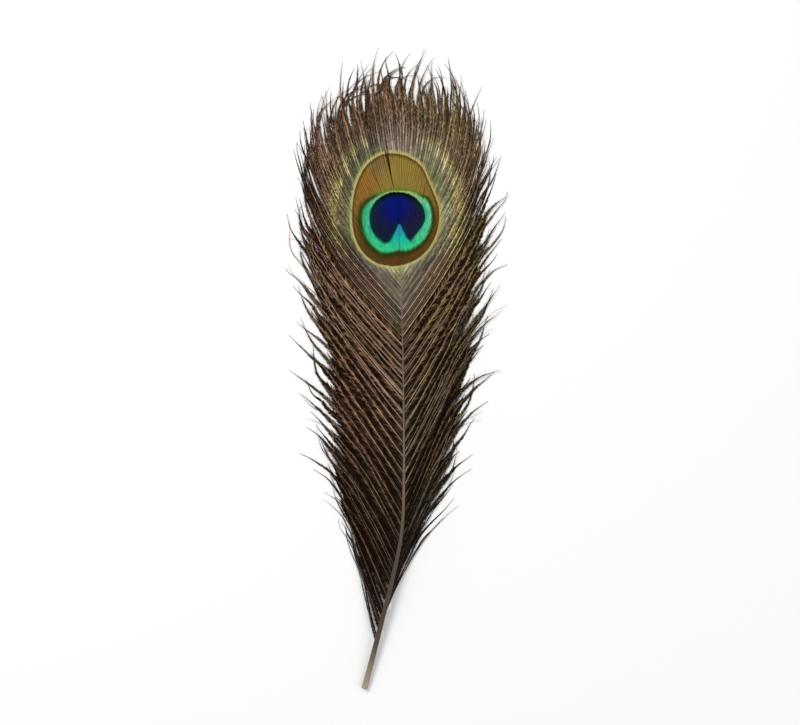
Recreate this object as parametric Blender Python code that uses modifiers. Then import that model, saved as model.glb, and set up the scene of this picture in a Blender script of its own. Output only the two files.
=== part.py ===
"""A peacock's tail feather with its eye, about 300 mm long, lying face up on a flat surface.

The feather grew as one piece, so it is one solid. A shaft tapers from the cut quill to the eye. A web
of joined barbs spreads round the eye, and it parts into pointed locks along its rim. Below the web,
loose locks leave the shaft on both sides. The shaft arches over the surface, and the locks come down
to lie on it with flat undersides.

Lengths are in millimetres until a point goes into a mesh, which holds metres. The feather runs along
+Y from quill to crown, +X is to the right as its face is seen, and +Z is up, out of the face.
"""

import math

import bmesh
import bpy
import numpy as np

MM = 0.001

# The shaft
CUT_END_Y = -149.0  # the quill's cut end
SHAFT_TIP_Y = 64.0  # where the shaft thins out, inside the eye
SHAFT_X = 4.1  # the shaft's furthest point to the right
SHAFT_X_AT_Y = -47.0
SHAFT_SWAY = 0.00019  # how fast it curves away from that point, per mm
KINK_Y = -77.0  # below here the shaft bends to the left
KINK_LENGTH = 6.0
KINK_SLOPE = 0.225
QUILL_RADIUS = 1.4
TIP_RADIUS = 0.15
TAPER_POWER = 1.6
ARCH_HEIGHT = 6.5  # how far the middle of the shaft rises
SHAFT_TIP_HEIGHT = 3.4
SHAFT_POINTS = 30
SHAFT_BEVEL_STEPS = 3

# The vane
SHEET_THICKNESS = 0.9
WEB_FROM_Y = 12.0  # the lowest barbs that are joined into the web
WEB_LOCKS = 13  # on each side
WEB_RAGGED = 1.25  # the web's locks differ more than the loose ones
SLIT_FROM_LOW, SLIT_FROM_HIGH = 0.34, 0.56  # where the web's rim parts, as a share of a barb
SLIT_HIGH_Y = 36.0
LOCK_POINT = 0.86  # how far a web lock narrows at its tip
LOOSE_LOCKS = 22  # on each side
LOOSE_FROM_Y = -127.0
LOOSE_TOP_GAP = 0.5  # from the highest loose lock to the web, in steps of the lock spacing
# A loose lock's width, as a share of the room between its neighbours: at these shares of its length
LOOSE_WIDTH_AT = (0.0, 0.07, 0.5, 1.0)
LOOSE_WIDTH = (0.25, 0.72, 0.66, 0.24)
FLAT_FROM = 0.84  # past this share of its length, a lock lies on the surface
DROOP_POWER = 1.5
LOCK_STEPS = (0.0, 0.06, 0.14, 0.25, 0.37, 0.49, 0.61, 0.73, 0.84, 0.93, 1.0)
HANDLE_SHARE = 0.38  # a barb's curve handles, as a share of the way from root to tip

# How neighbouring locks differ
RAGGED_LENGTH = 0.035  # in length, as a share
RAGGED_ASIDE = 0.8  # in where the tip goes
RAGGED_WAVE = 0.9  # in how far the outer part waves from side to side
RAGGED_WAVES = 1.3  # waves in a barb's length

# The middle of the feather's box, as drawn, comes to the origin
BOX_MIDDLE = (0.565, -1.246)

# Barbs on each side, from the lowest to the one that goes on from the shaft. Each row is the height on
# the shaft where a barb starts, its tip's place, and its angles out from +Y at the root and the tip.
LEFT, RIGHT = -1, 1
BARB_ROWS = {
    LEFT: (
        (-128.0, -29.0, -70.0, 17.0, 36.0),
        (-100.0, -40.0, -38.0, 24.0, 46.0),
        (-70.0, -45.0, -4.0, 30.0, 48.0),
        (-40.0, -48.0, 30.0, 37.0, 42.0),
        (-12.0, -49.0, 62.0, 42.0, 28.0),
        (12.0, -46.5, 91.0, 43.0, 14.0),
        (28.0, -42.0, 114.0, 41.0, 4.0),
        (40.0, -34.0, 130.0, 36.0, -4.0),
        (52.0, -21.0, 142.0, 21.0, -6.0),
        (64.0, -5.0, 148.0, 2.0, 8.0),
    ),
    RIGHT: (
        (-128.0, 27.0, -64.0, 15.0, 40.0),
        (-100.0, 39.0, -31.0, 21.0, 50.0),
        (-70.0, 46.0, 3.0, 26.0, 51.0),
        (-40.0, 49.5, 36.0, 31.0, 45.0),
        (-12.0, 50.5, 67.0, 35.0, 32.0),
        (12.0, 48.0, 94.0, 36.0, 20.0),
        (28.0, 42.0, 116.0, 34.0, 8.0),
        (40.0, 32.0, 131.0, 28.0, -12.0),
        (52.0, 14.0, 143.0, 15.0, -26.0),
        (64.0, -5.0, 148.0, -2.0, -8.0),
    ),
}

FEATHER_BROWN = (0.115, 0.068, 0.038, 1.0)


def shaft_x(y):
    """The shaft's sideways place at height y along the feather: a shallow curve, then the kink."""
    below = np.logaddexp(0.0, (KINK_Y - y) / KINK_LENGTH) * KINK_LENGTH
    return SHAFT_X - SHAFT_SWAY * (y - SHAFT_X_AT_Y) ** 2 - KINK_SLOPE * below


def shaft_share(y):
    """0 at the cut end and 1 at the shaft's tip."""
    return (y - CUT_END_Y) / (SHAFT_TIP_Y - CUT_END_Y)


def shaft_radius(y):
    return TIP_RADIUS + (QUILL_RADIUS - TIP_RADIUS) * (1.0 - shaft_share(y)) ** TAPER_POWER


def shaft_z(y):
    """The height of the shaft's middle over the surface: the cut end rests, and the rest arches."""
    share = shaft_share(y)
    chord = QUILL_RADIUS + (SHAFT_TIP_HEIGHT - QUILL_RADIUS) * share
    return chord + ARCH_HEIGHT * np.sin(math.pi * share)


def smooth_between(x, known_x, known_y):
    """The value at x on a smooth curve through known points: cubic pieces that share their slopes."""
    slopes = np.gradient(known_y, known_x)
    i = int(np.clip(np.searchsorted(known_x, x) - 1, 0, len(known_x) - 2))
    width = known_x[i + 1] - known_x[i]
    u = (x - known_x[i]) / width
    start = (1 + 2 * u) * (1 - u) ** 2 * known_y[i] + u * (1 - u) ** 2 * width * slopes[i]
    end = u**2 * (3 - 2 * u) * known_y[i + 1] + u**2 * (u - 1) * width * slopes[i + 1]
    return start + end


def heading(side, degrees):
    """The direction that points this many degrees outwards from +Y on this side."""
    return np.array([side * math.sin(math.radians(degrees)), math.cos(math.radians(degrees))])


def barb_curve(side, root_y, ragged=0.0):
    """The four control points, in plan, of the barb that leaves the shaft at root_y.

    ragged moves the tip along the barb and sideways, as a share of what tips may differ by.
    """
    rows = np.array(BARB_ROWS[side])
    tip_x, tip_y, start, end = (smooth_between(root_y, rows[:, 0], rows[:, c]) for c in (1, 2, 3, 4))
    root = np.array([shaft_x(root_y), root_y])
    tip = np.array([tip_x, tip_y])
    tip = tip + ragged * (RAGGED_LENGTH * (tip - root) + RAGGED_ASIDE * np.array([side, -side]))
    reach = HANDLE_SHARE * np.linalg.norm(tip - root)
    return root, root + reach * heading(side, start), tip - reach * heading(side, end), tip


def barb_point(side, root_y, t, ragged=0.0):
    """The point at share t of a barb: in plan a cubic curve, and in height down from the shaft."""
    a, b, c, d = barb_curve(side, root_y, ragged)
    x, y = (1 - t) ** 3 * a + 3 * t * (1 - t) ** 2 * b + 3 * t**2 * (1 - t) * c + t**3 * d
    wave = ragged * RAGGED_WAVE * t**2 * math.sin(2 * math.pi * RAGGED_WAVES * t)
    x, y = np.array([x, y]) + wave * heading(side, 90 + 40)
    lying = SHEET_THICKNESS / 2
    z = lying + (shaft_z(root_y) - lying) * max(0.0, 1 - t / FLAT_FROM) ** DROOP_POWER
    return np.array([x, y, z])


def along_barb(side, root_y, t):
    """The direction of the barb at share t, in plan."""
    a, b, c, d = barb_curve(side, root_y)
    slope = (1 - t) ** 2 * (b - a) + 2 * t * (1 - t) * (c - b) + t**2 * (d - c)
    return slope / np.linalg.norm(slope)


def room_at(side, root_y, spacing, t):
    """The distance between two neighbouring locks here, measured square to them."""
    above = barb_point(side, root_y + spacing / 2, t)[:2]
    below = barb_point(side, root_y - spacing / 2, t)[:2]
    along = along_barb(side, root_y, t)
    return abs((above - below) @ np.array([along[1], -along[0]]))


def ragged_share(side, index):
    """How far this lock's tip differs from the even outline, from about -1 to 1."""
    return 0.6 * math.sin(2.4 * index + side) + 0.4 * math.sin(5.3 * index + 2 * side)


def web_edges(side):
    """The heights on the shaft where the web's locks meet."""
    return np.linspace(WEB_FROM_Y, SHAFT_TIP_Y, WEB_LOCKS + 1)


def web_lock(side, index):
    """A surface u, t of one lock of the web: joined to its neighbours, then narrowing to its tip."""
    low, high = web_edges(side)[index : index + 2]
    slit = np.interp(low, (WEB_FROM_Y, SLIT_HIGH_Y), (SLIT_FROM_LOW, SLIT_FROM_HIGH))
    parted = LOCK_STEPS[np.searchsorted(LOCK_STEPS, slit)]
    ragged = WEB_RAGGED * ragged_share(side, index)

    def place(u, t):
        edges = [barb_point(side, y, t) for y in (low, high)]
        if t <= parted:
            return edges[0] if u < 0.5 else edges[1]
        free = (t - parted) / (1 - parted)
        middle = barb_point(side, (low + high) / 2, t, ragged)
        edge = edges[0] if u < 0.5 else edges[1]
        return edge + (middle - edge) * LOCK_POINT * free**0.6

    return place


def loose_lock(side, index):
    """A surface u, t of one loose lock: narrow at the root, widest near it, and pointed."""
    spacing = (WEB_FROM_Y - LOOSE_FROM_Y) / (LOOSE_LOCKS - 1 + LOOSE_TOP_GAP)
    root_y = LOOSE_FROM_Y + spacing * index
    ragged = ragged_share(side, index)

    def place(u, t):
        along = along_barb(side, root_y, t)
        across = np.array([along[1], -along[0], 0.0])
        width = np.interp(t, LOOSE_WIDTH_AT, LOOSE_WIDTH) * room_at(side, root_y, spacing, t)
        return barb_point(side, root_y, t, ragged) + across * width * (u - 0.5)

    return place


def to_metres(point):
    return ((point[0] - BOX_MIDDLE[0]) * MM, (point[1] - BOX_MIDDLE[1]) * MM, point[2] * MM)


def add_sheet(mesh, place, flip):
    """Adds a grid one column wide to a bmesh, with place giving the point at u across and t along."""
    rows = len(LOCK_STEPS) - 1
    made = bmesh.ops.create_grid(mesh, x_segments=1, y_segments=rows, size=0.5)
    for vertex in made["verts"]:
        u, row = vertex.co.x + 0.5, round((vertex.co.y + 0.5) * rows)
        vertex.co = to_metres(place(u, LOCK_STEPS[row]))
    if flip:
        faces = {face for vertex in made["verts"] for face in vertex.link_faces}
        bmesh.ops.reverse_faces(mesh, faces=list(faces))


def object_from(name, mesh, collection):
    """Links a bmesh as a new object."""
    data = bpy.data.meshes.new(name)
    mesh.to_mesh(data)
    mesh.free()
    obj = bpy.data.objects.new(name, data)
    collection.objects.link(obj)
    return obj


def thicken(obj):
    """Turns a sheet into a closed plate, centred on the sheet."""
    solidify = obj.modifiers.new("plate", "SOLIDIFY")
    solidify.thickness = SHEET_THICKNESS * MM
    solidify.offset = 0.0


def make_web(collection):
    """The web round the eye, as one plate whose rim is parted into locks."""
    mesh = bmesh.new()
    for side in (LEFT, RIGHT):
        for index in range(WEB_LOCKS):
            add_sheet(mesh, web_lock(side, index), flip=side == LEFT)
    bmesh.ops.remove_doubles(mesh, verts=mesh.verts, dist=0.01 * MM)
    bmesh.ops.recalc_face_normals(mesh, faces=mesh.faces)
    web = object_from("web", mesh, collection)
    thicken(web)
    return web


def make_loose_locks(collection):
    """The separate locks below the web, on both sides of the shaft."""
    for side, word in ((LEFT, "left"), (RIGHT, "right")):
        for index in range(LOOSE_LOCKS):
            mesh = bmesh.new()
            add_sheet(mesh, loose_lock(side, index), flip=False)
            thicken(object_from(f"{word}_lock_{index:02d}", mesh, collection))


def make_shaft(collection):
    """The tapering quill and shaft, as a closed mesh made from a bevelled curve."""
    data = bpy.data.curves.new("shaft_line", "CURVE")
    data.dimensions = "3D"
    data.bevel_depth = MM
    data.bevel_resolution = SHAFT_BEVEL_STEPS
    data.use_fill_caps = True
    spline = data.splines.new("POLY")
    spline.points.add(SHAFT_POINTS - 1)
    for point, y in zip(spline.points, np.linspace(CUT_END_Y, SHAFT_TIP_Y, SHAFT_POINTS)):
        point.co = (*to_metres((shaft_x(y), y, shaft_z(y))), 1.0)
        point.radius = shaft_radius(y)
    curve = bpy.data.objects.new("shaft_line", data)
    collection.objects.link(curve)
    bpy.context.view_layer.update()
    evaluated = curve.evaluated_get(bpy.context.evaluated_depsgraph_get())
    shaft_mesh = bpy.data.meshes.new_from_object(evaluated)
    mesh = bmesh.new()
    mesh.from_mesh(shaft_mesh)
    bmesh.ops.remove_doubles(mesh, verts=mesh.verts, dist=0.001 * MM)
    bpy.data.objects.remove(curve)
    bpy.data.meshes.remove(shaft_mesh)
    return object_from("feather", mesh, collection)


def make_material():
    """The feather's bronze brown, satin as dry barbs are."""
    material = bpy.data.materials.new("feather_brown")
    material.use_nodes = True
    surface = material.node_tree.nodes["Principled BSDF"]
    surface.inputs["Base Color"].default_value = FEATHER_BROWN
    surface.inputs["Roughness"].default_value = 0.6
    surface.inputs["Metallic"].default_value = 0.0
    return material


def new_collection(name, hidden):
    collection = bpy.data.collections.new(name)
    collection.hide_render = hidden
    bpy.context.scene.collection.children.link(collection)
    return collection


def main():
    for obj in list(bpy.data.objects):
        bpy.data.objects.remove(obj)
    shown = new_collection("peacock_feather", hidden=False)
    fused = new_collection("vane_pieces", hidden=True)

    make_web(fused)
    make_loose_locks(fused)
    for piece in fused.objects:
        piece.hide_render = True
        piece.display_type = "WIRE"

    feather = make_shaft(shown)
    join = feather.modifiers.new("vane", "BOOLEAN")
    join.operation = "UNION"
    join.solver = "EXACT"
    join.operand_type = "COLLECTION"
    join.collection = fused
    feather.data.materials.append(make_material())
    feather.data.shade_smooth()
    feather.data.set_sharp_from_angle(angle=math.radians(30))


main()
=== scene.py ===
"""A peacock's tail feather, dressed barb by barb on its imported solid.

The solid gives the feather's place, length and outline. Here it becomes a hollow quill and shaft, some
350 barbs that leave the shaft on both sides, and the barbules that fringe each barb. Round the eye the
barbs widen into ribbons that lie edge on edge, and the eye's bands are worked out on them in the
materials from each barb's own place in the feather.

Lengths here are millimetres in the feather's own plan until a mesh is written in metres.
"""

from __future__ import annotations

import logging
import math
from dataclasses import dataclass, field
from enum import Enum

import bpy
import numpy as np
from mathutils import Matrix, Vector

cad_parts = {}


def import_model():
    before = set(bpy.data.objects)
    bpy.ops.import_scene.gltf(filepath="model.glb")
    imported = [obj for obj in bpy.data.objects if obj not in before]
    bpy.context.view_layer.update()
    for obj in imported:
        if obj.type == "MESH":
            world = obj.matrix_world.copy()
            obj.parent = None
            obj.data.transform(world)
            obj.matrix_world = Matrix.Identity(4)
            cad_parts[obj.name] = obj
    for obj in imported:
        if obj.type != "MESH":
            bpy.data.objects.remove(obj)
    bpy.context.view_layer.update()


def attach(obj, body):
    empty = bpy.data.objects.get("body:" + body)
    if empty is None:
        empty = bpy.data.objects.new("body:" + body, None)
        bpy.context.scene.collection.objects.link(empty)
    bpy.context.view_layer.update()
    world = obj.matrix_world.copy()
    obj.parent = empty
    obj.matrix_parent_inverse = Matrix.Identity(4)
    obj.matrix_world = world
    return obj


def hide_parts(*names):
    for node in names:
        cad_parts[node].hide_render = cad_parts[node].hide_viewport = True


LOG = logging.getLogger("feather")
MM = 0.001
NODE = "feather"
BODY = "root"
BOX_MIDDLE = np.array([0.565, -1.246, 0.0])  # the middle of the solid's box, in the feather's plan
STUDIO_GAIN = 1.32  # how much brighter than its paint the studio's light shows a level surface

Array = np.ndarray
Colour = tuple[float, float, float, float]


class Side(Enum):
    """Which side of the shaft a barb grows on, seen from above with the crown up."""

    LEFT = -1
    RIGHT = 1


def paint(red: int, green: int, blue: int) -> Colour:
    """The paint that shows as a screen colour in the studio's light.

    Each channel c is made linear, ((c + 0.055) / 1.055)^2.4, or c / 12.92 where it is very dark, and
    divided by the studio's gain.

    Args:
        red: Red, from 0 to 255.
        green: Green, from 0 to 255.
        blue: Blue, from 0 to 255.

    Returns:
        Linear red, green, blue and an alpha of 1.
    """
    shares = (c / 255 for c in (red, green, blue))
    linear = [c / 12.92 if c <= 0.04045 else ((c + 0.055) / 1.055) ** 2.4 for c in shares]
    return (*(c / STUDIO_GAIN for c in linear), 1.0)


def ease(value: Array, low: float, high: float) -> Array:
    """A smooth step: 0 up to low, 1 from high, and 3s^2 - 2s^3 of the share s between them."""
    share = np.clip((value - low) / (high - low), 0.0, 1.0)
    return share * share * (3 - 2 * share)


def stacked(*numbers: Array | float) -> Array:
    """The numbers, spread to one shape, as vectors along a new last axis."""
    return np.stack(np.broadcast_arrays(*numbers), axis=-1)


def unit(vectors: Array) -> Array:
    """Each vector divided by its length."""
    return vectors / np.maximum(np.linalg.norm(vectors, axis=-1, keepdims=True), 1e-9)


def level_right(along: Array) -> Array:
    """The level direction to the right of each direction."""
    return unit(stacked(along[..., 1], -along[..., 0], 0.0))


def smooth_between(x: Array, known_x: Array, known_y: Array) -> Array:
    """Values on a smooth curve through known points.

    Each piece is the cubic with the points' own slopes at both ends: (1+2u)(1-u)^2 and u(1-u)^2 weigh
    the start's value and slope, u^2(3-2u) and u^2(u-1) the end's.

    Args:
        x: Where the values are wanted.
        known_x: Rising places.
        known_y: The values there.

    Returns:
        The values at x.
    """
    slopes = np.gradient(known_y, known_x)
    i = np.clip(np.searchsorted(known_x, x) - 1, 0, len(known_x) - 2)
    width = known_x[i + 1] - known_x[i]
    u = (x - known_x[i]) / width
    start = (1 + 2 * u) * (1 - u) ** 2 * known_y[i] + u * (1 - u) ** 2 * width * slopes[i]
    end = u**2 * (3 - 2 * u) * known_y[i + 1] + u**2 * (u - 1) * width * slopes[i + 1]
    return start + end


# --------------------------------------------------------------------------------------------------
# Where everything runs


@dataclass(frozen=True)
class ShaftLine:
    """The line, thickness and height of the quill and shaft, as in the solid."""

    cut_end_y: float = -149.0
    tip_y: float = 64.0
    right_most: float = 4.1
    right_most_y: float = -47.0
    sway: float = 0.00019
    kink_y: float = -77.0
    kink_length: float = 6.0
    kink_slope: float = 0.225
    quill_radius: float = 1.4
    tip_radius: float = 0.15
    taper: float = 1.6
    arch: float = 6.5
    tip_height: float = 3.4

    def x(self, y: Array) -> Array:
        """The sideways place: a parabola about right_most_y, less a soft bend below kink_y."""
        below = np.logaddexp(0.0, (self.kink_y - y) / self.kink_length) * self.kink_length
        return self.right_most - self.sway * (y - self.right_most_y) ** 2 - self.kink_slope * below

    def share(self, y: Array) -> Array:
        """0 at the cut end and 1 at the tip."""
        return (y - self.cut_end_y) / (self.tip_y - self.cut_end_y)

    def radius(self, y: Array) -> Array:
        """The radius, falling as (1 - share) to the power of taper."""
        left = np.clip(1 - self.share(y), 0.0, 1.0)
        return self.tip_radius + (self.quill_radius - self.tip_radius) * left**self.taper

    def z(self, y: Array) -> Array:
        """The height of the middle: a straight rise and half a sine arch on it."""
        rise = self.quill_radius + (self.tip_height - self.quill_radius) * self.share(y)
        return rise + self.arch * np.sin(math.pi * self.share(y))


# Barbs from the lowest to the one that goes on from the shaft: the root's height on the shaft, the
# tip's x and y, and the angles out from +Y at the root and at the tip.
BARB_ROWS = {
    Side.LEFT: (
        (-128.0, -29.0, -70.0, 17.0, 36.0),
        (-100.0, -40.0, -38.0, 24.0, 46.0),
        (-70.0, -45.0, -4.0, 30.0, 48.0),
        (-40.0, -48.0, 30.0, 37.0, 42.0),
        (-12.0, -49.0, 62.0, 42.0, 28.0),
        (12.0, -46.5, 91.0, 43.0, 14.0),
        (28.0, -42.0, 114.0, 41.0, 4.0),
        (40.0, -34.0, 130.0, 36.0, -4.0),
        (52.0, -21.0, 142.0, 21.0, -6.0),
        (64.0, -5.0, 148.0, 2.0, 8.0),
    ),
    Side.RIGHT: (
        (-128.0, 27.0, -64.0, 15.0, 40.0),
        (-100.0, 39.0, -31.0, 21.0, 50.0),
        (-70.0, 46.0, 3.0, 26.0, 51.0),
        (-40.0, 49.5, 36.0, 31.0, 45.0),
        (-12.0, 50.5, 67.0, 35.0, 32.0),
        (12.0, 48.0, 94.0, 36.0, 20.0),
        (28.0, 42.0, 116.0, 34.0, 8.0),
        (40.0, 32.0, 131.0, 28.0, -12.0),
        (52.0, 14.0, 143.0, 15.0, -26.0),
        (64.0, -5.0, 148.0, -2.0, -8.0),
    ),
}


@dataclass(frozen=True)
class VaneLines:
    """The course of any barb, as the solid's locks have it."""

    shaft: ShaftLine
    half_sheet: float = 0.45
    flat_from: float = 0.84
    droop: float = 1.5
    handle: float = 0.38
    ragged_length: float = 0.035
    ragged_aside: float = 0.8
    ragged_wave: float = 0.9
    waves: float = 1.3
    wave_turn: float = 130.0

    def heading(self, side: Side, degrees: Array) -> Array:
        """The plan direction that points this many degrees outwards from +Y."""
        angle = np.radians(degrees)
        return stacked(side.value * np.sin(angle), np.cos(angle))

    def plan(self, side: Side, root_y: Array, t: Array, ragged: Array) -> Array:
        """The barbs' curves in plan.

        Each is a cubic curve whose handles lie along the root's and the tip's angle. ragged moves the
        tip by a share of the barb and sideways, and adds the wave t^2 sin(2 pi waves t).

        Args:
            side: The side of the shaft.
            root_y: Each barb's height on the shaft, of shape (barbs, 1).
            t: Shares of the way from root to tip, of shape (barbs or 1, samples).
            ragged: How far each barb differs from the even course, of shape (barbs, 1).

        Returns:
            Points of shape (barbs, samples, 2).
        """
        rows = np.array(BARB_ROWS[side])
        tip_x, tip_y, start, end = (smooth_between(root_y, rows[:, 0], rows[:, c]) for c in (1, 2, 3, 4))
        root = stacked(self.shaft.x(root_y), root_y)
        tip = stacked(tip_x, tip_y)
        moved = self.ragged_length * (tip - root) + self.ragged_aside * np.array([side.value, -side.value])
        tip = tip + ragged[..., None] * moved
        reach = self.handle * np.linalg.norm(tip - root, axis=-1, keepdims=True)
        near = root + reach * self.heading(side, start)
        far = tip - reach * self.heading(side, end)
        t = t[..., None]
        curve = (1 - t) ** 3 * root + 3 * t * (1 - t) ** 2 * near + 3 * t**2 * (1 - t) * far + t**3 * tip
        wave = ragged[..., None] * self.ragged_wave * t**2 * np.sin(2 * math.pi * self.waves * t)
        return curve + wave * self.heading(side, np.array(self.wave_turn))

    def height(self, root_y: Array, t: Array) -> Array:
        """The sheet's middle height: from the shaft's down to half_sheet, where the barb lies flat."""
        fall = np.maximum(0.0, 1 - t / self.flat_from) ** self.droop
        return self.half_sheet + (self.shaft.z(root_y) - self.half_sheet) * fall

    def points(self, side: Side, root_y: Array, t: Array, ragged: Array) -> Array:
        """The barbs' curves in space: plan and height together.

        Args:
            side: The side of the shaft.
            root_y: Each barb's height on the shaft, of shape (barbs, 1).
            t: Shares of the way from root to tip, of shape (barbs or 1, samples).
            ragged: How far each barb differs from the even course, of shape (barbs, 1).

        Returns:
            Points of shape (barbs, samples, 3).
        """
        plan = self.plan(side, root_y, t, ragged)
        return stacked(plan[..., 0], plan[..., 1], self.height(root_y, t))


@dataclass(frozen=True)
class Oval:
    """A band's outline: |dx/wide|^power + |dy/tall|^power = 1, with tall differing up and down."""

    x: float
    y: float
    wide: float
    up: float
    down: float
    power: float = 2.0

    def reach(self, x: Array, y: Array) -> Array:
        """0 at the middle and 1 on the outline."""
        tall = np.maximum((y - self.y) / self.up, (self.y - y) / self.down)
        return (np.abs((x - self.x) / self.wide) ** self.power + tall**self.power) ** (1 / self.power)


@dataclass(frozen=True)
class Flat:
    """A straight cut through x, y that faces turn degrees below +X."""

    x: float
    y: float
    turn: float


@dataclass(frozen=True)
class Slit:
    """A narrow parting between two of the eye's barbs, from its upper to its lower end."""

    top: tuple[float, float]
    bottom: tuple[float, float]
    width: float
    softness: float = 2.5

    @property
    def lean(self) -> float:
        """How far the parting moves in x for each millimetre upwards."""
        return (self.bottom[0] - self.top[0]) / (self.bottom[1] - self.top[1])

    def push(self, x: Array, y: Array) -> Array:
        """How far the parting moves barbs aside: width/2 at its edges, fading as exp(-distance/softness).

        Args:
            x: The barbs' samples, one barb a row.
            y: Their heights.

        Returns:
            The move in x of each sample.
        """
        (top_x, top_y), (bottom_x, bottom_y) = self.top, self.bottom
        distance = x - top_x - (bottom_x - top_x) * (y - top_y) / (bottom_y - top_y)
        nearest = np.abs(y - (top_y + bottom_y) / 2).argmin(axis=1)
        side = np.sign(distance[np.arange(len(x)), nearest])[:, None]
        within = ease(y, bottom_y + 3.0, bottom_y + 12.0) * (1 - ease(y, top_y, top_y + 8.0))
        return side * self.width / 2 * np.exp(-np.abs(distance) / self.softness) * within


@dataclass(frozen=True)
class EyePlan:
    """The eye's bands, in the feather's plan.

    web is where the barbs lie edge on edge. The ring and the bronze are eggs: ovals whose middle line
    bends to the left by bow (y - bow_y)^2, cut straight at the upper right. The teal is what its two
    ovals share, its underside lifted at the right and notched. The blue is cut straight at the lower
    right, and a wedge is cut out of it from below: 2 blunt wide at its tip, 2 slope wider for each
    millimetre down, and flaring below flare_left and flare_right. The foot is the V of barbs under the
    ring that lie close together.
    """

    web: Oval = Oval(0.55, 68.6, 21.6, 29.8, 25.4, 2.08)
    web_edge: float = 0.14
    web_edge_above: float = 0.4
    ring: Oval = Oval(0.25, 68.0, 21.2, 30.2, 24.3, 2.1)
    ring_flat: Flat = Flat(19.2, 77.8, -23.0)
    bronze: Oval = Oval(0.25, 68.0, 19.95, 28.7, 23.15, 2.1)
    bronze_flat: Flat = Flat(18.15, 77.3, -23.0)
    mauve: Oval = Oval(-7.2, 91.5, 5.0, 5.5, 7.0)
    bow: float = 0.0021
    bow_y: float = 70.0
    egg_softness: float = 0.05
    teal: Oval = Oval(0.9, 66.6, 16.6, 16.5, 17.6, 2.12)
    teal_top: Oval = Oval(2.1, 65.8, 18.8, 13.7, 40.0)
    teal_lift: float = 1.6
    notch_x: float = 1.9
    notch_depth: float = 0.7
    notch_width: float = 7.2
    blue: Oval = Oval(1.1, 67.0, 13.0, 12.15, 13.9)
    blue_flat: Flat = Flat(12.2, 62.5, 33.0)
    blue_middle: Oval = Oval(0.6, 72.5, 1.0, 0.9, 1.2)
    blue_softness: float = 0.12
    wedge_x: float = 2.0
    wedge_y: float = 63.8
    wedge_blunt: float = 0.4
    wedge_slope: float = 0.415
    flare_left: float = 7.3
    flare_right: float = 6.6
    foot_x: float = 2.2
    foot_y: float = 14.0
    foot_slope: float = 0.42
    foot_share: float = 0.1
    slits: tuple[Slit, ...] = (
        Slit((-4.8, 99.4), (-0.5, 80.2), 0.6),
        Slit((-10.1, 87.0), (-6.0, 79.2), 0.24),
        Slit((-2.8, 101.0), (-2.9, 93.0), 0.2),
        Slit((13.7, 81.1), (12.4, 74.2), 0.22),
    )

    def joined(self, x: Array, y: Array) -> Array:
        """How far the barbs lie edge on edge: 1 in the web, foot_share in the foot under it, else 0.

        Args:
            x: Places across the feather.
            y: Their heights.

        Returns:
            A share for each place, easing to 0 over web_edge past the web, and over more in the crown.
        """
        edge = self.web_edge + self.web_edge_above * ease(y, 70.0, 98.0)
        in_web = 1 - ease((self.web.reach(x, y) - 1.0) / edge, 0.0, 1.0)
        half_foot = np.clip(y - self.foot_y, 0.0, None) * self.foot_slope
        in_foot = (1 - ease(np.abs(x - self.foot_x) - half_foot, -2.0, 3.0)) * ease(y, 16.0, 24.0)
        in_foot = in_foot * (1 - ease(y, 52.0, 60.0))
        return np.maximum(in_web, self.foot_share * in_foot)


# --------------------------------------------------------------------------------------------------
# Strands: many barbs held as arrays


@dataclass(frozen=True)
class Dress:
    """How a set of barbs is shaded, and how its barbules are laid.

    The range of the seeds says how light the barbs are. pitch and blade are the barbules' spacing and
    width. Their reach is a share of the room beside the barb, between least and most, and falls to bare.
    """

    seeds: tuple[float, float]
    pitch: float
    blade: float
    bare: float
    share: float = 0.0
    least: float = 0.0
    most: float = 0.0

    def fringe(self, room: Array, dressed: Array) -> Array:
        """The barbules' reach beside barbs with this room, where dressed goes from 1 down to 0."""
        return self.bare + (np.clip(self.share * room, self.least, self.most) - self.bare) * dressed


@dataclass
class Strands:
    """A set of barbs as arrays over (barb, sample), and their dress."""

    path: Array
    room: Array
    fringe: Array
    seed: Array
    slip: Array
    dress: Dress
    along: Array = field(init=False)
    across: Array = field(init=False)
    up: Array = field(init=False)
    arc: Array = field(init=False)
    own: Array = field(init=False)

    def __post_init__(self) -> None:
        """Works out each barb's directions, the distance run along it and its share of the whole."""
        steps = np.linalg.norm(np.diff(self.path, axis=1), axis=-1)
        self.arc = np.concatenate([np.zeros((len(self.path), 1)), np.cumsum(steps, axis=1)], axis=1)
        self.own = self.arc / self.arc[:, -1:]
        self.along = unit(np.gradient(self.path, axis=1))
        self.across = level_right(self.along)
        self.up = np.cross(self.across, self.along)

    def read(self, values: Array, barb: Array, at: Array) -> Array:
        """Values held over (barb, sample), read part of the way between two samples.

        Args:
            values: A number or a vector for each barb and sample.
            barb: The barb that each answer is for.
            at: Its place along the barb, in samples.

        Returns:
            A number or a vector for each.
        """
        low = at.astype(int)
        part = (at - low).reshape(-1, *[1] * (values.ndim - 2))
        return values[barb, low] * (1 - part) + values[barb, low + 1] * part


def ragged_share(side: Side, index: Array) -> Array:
    """How far each lock differs from the even outline, from about -1 to 1, as in the solid."""
    return 0.6 * np.sin(2.4 * index + side.value) + 0.4 * np.sin(5.3 * index + 2 * side.value)


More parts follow.
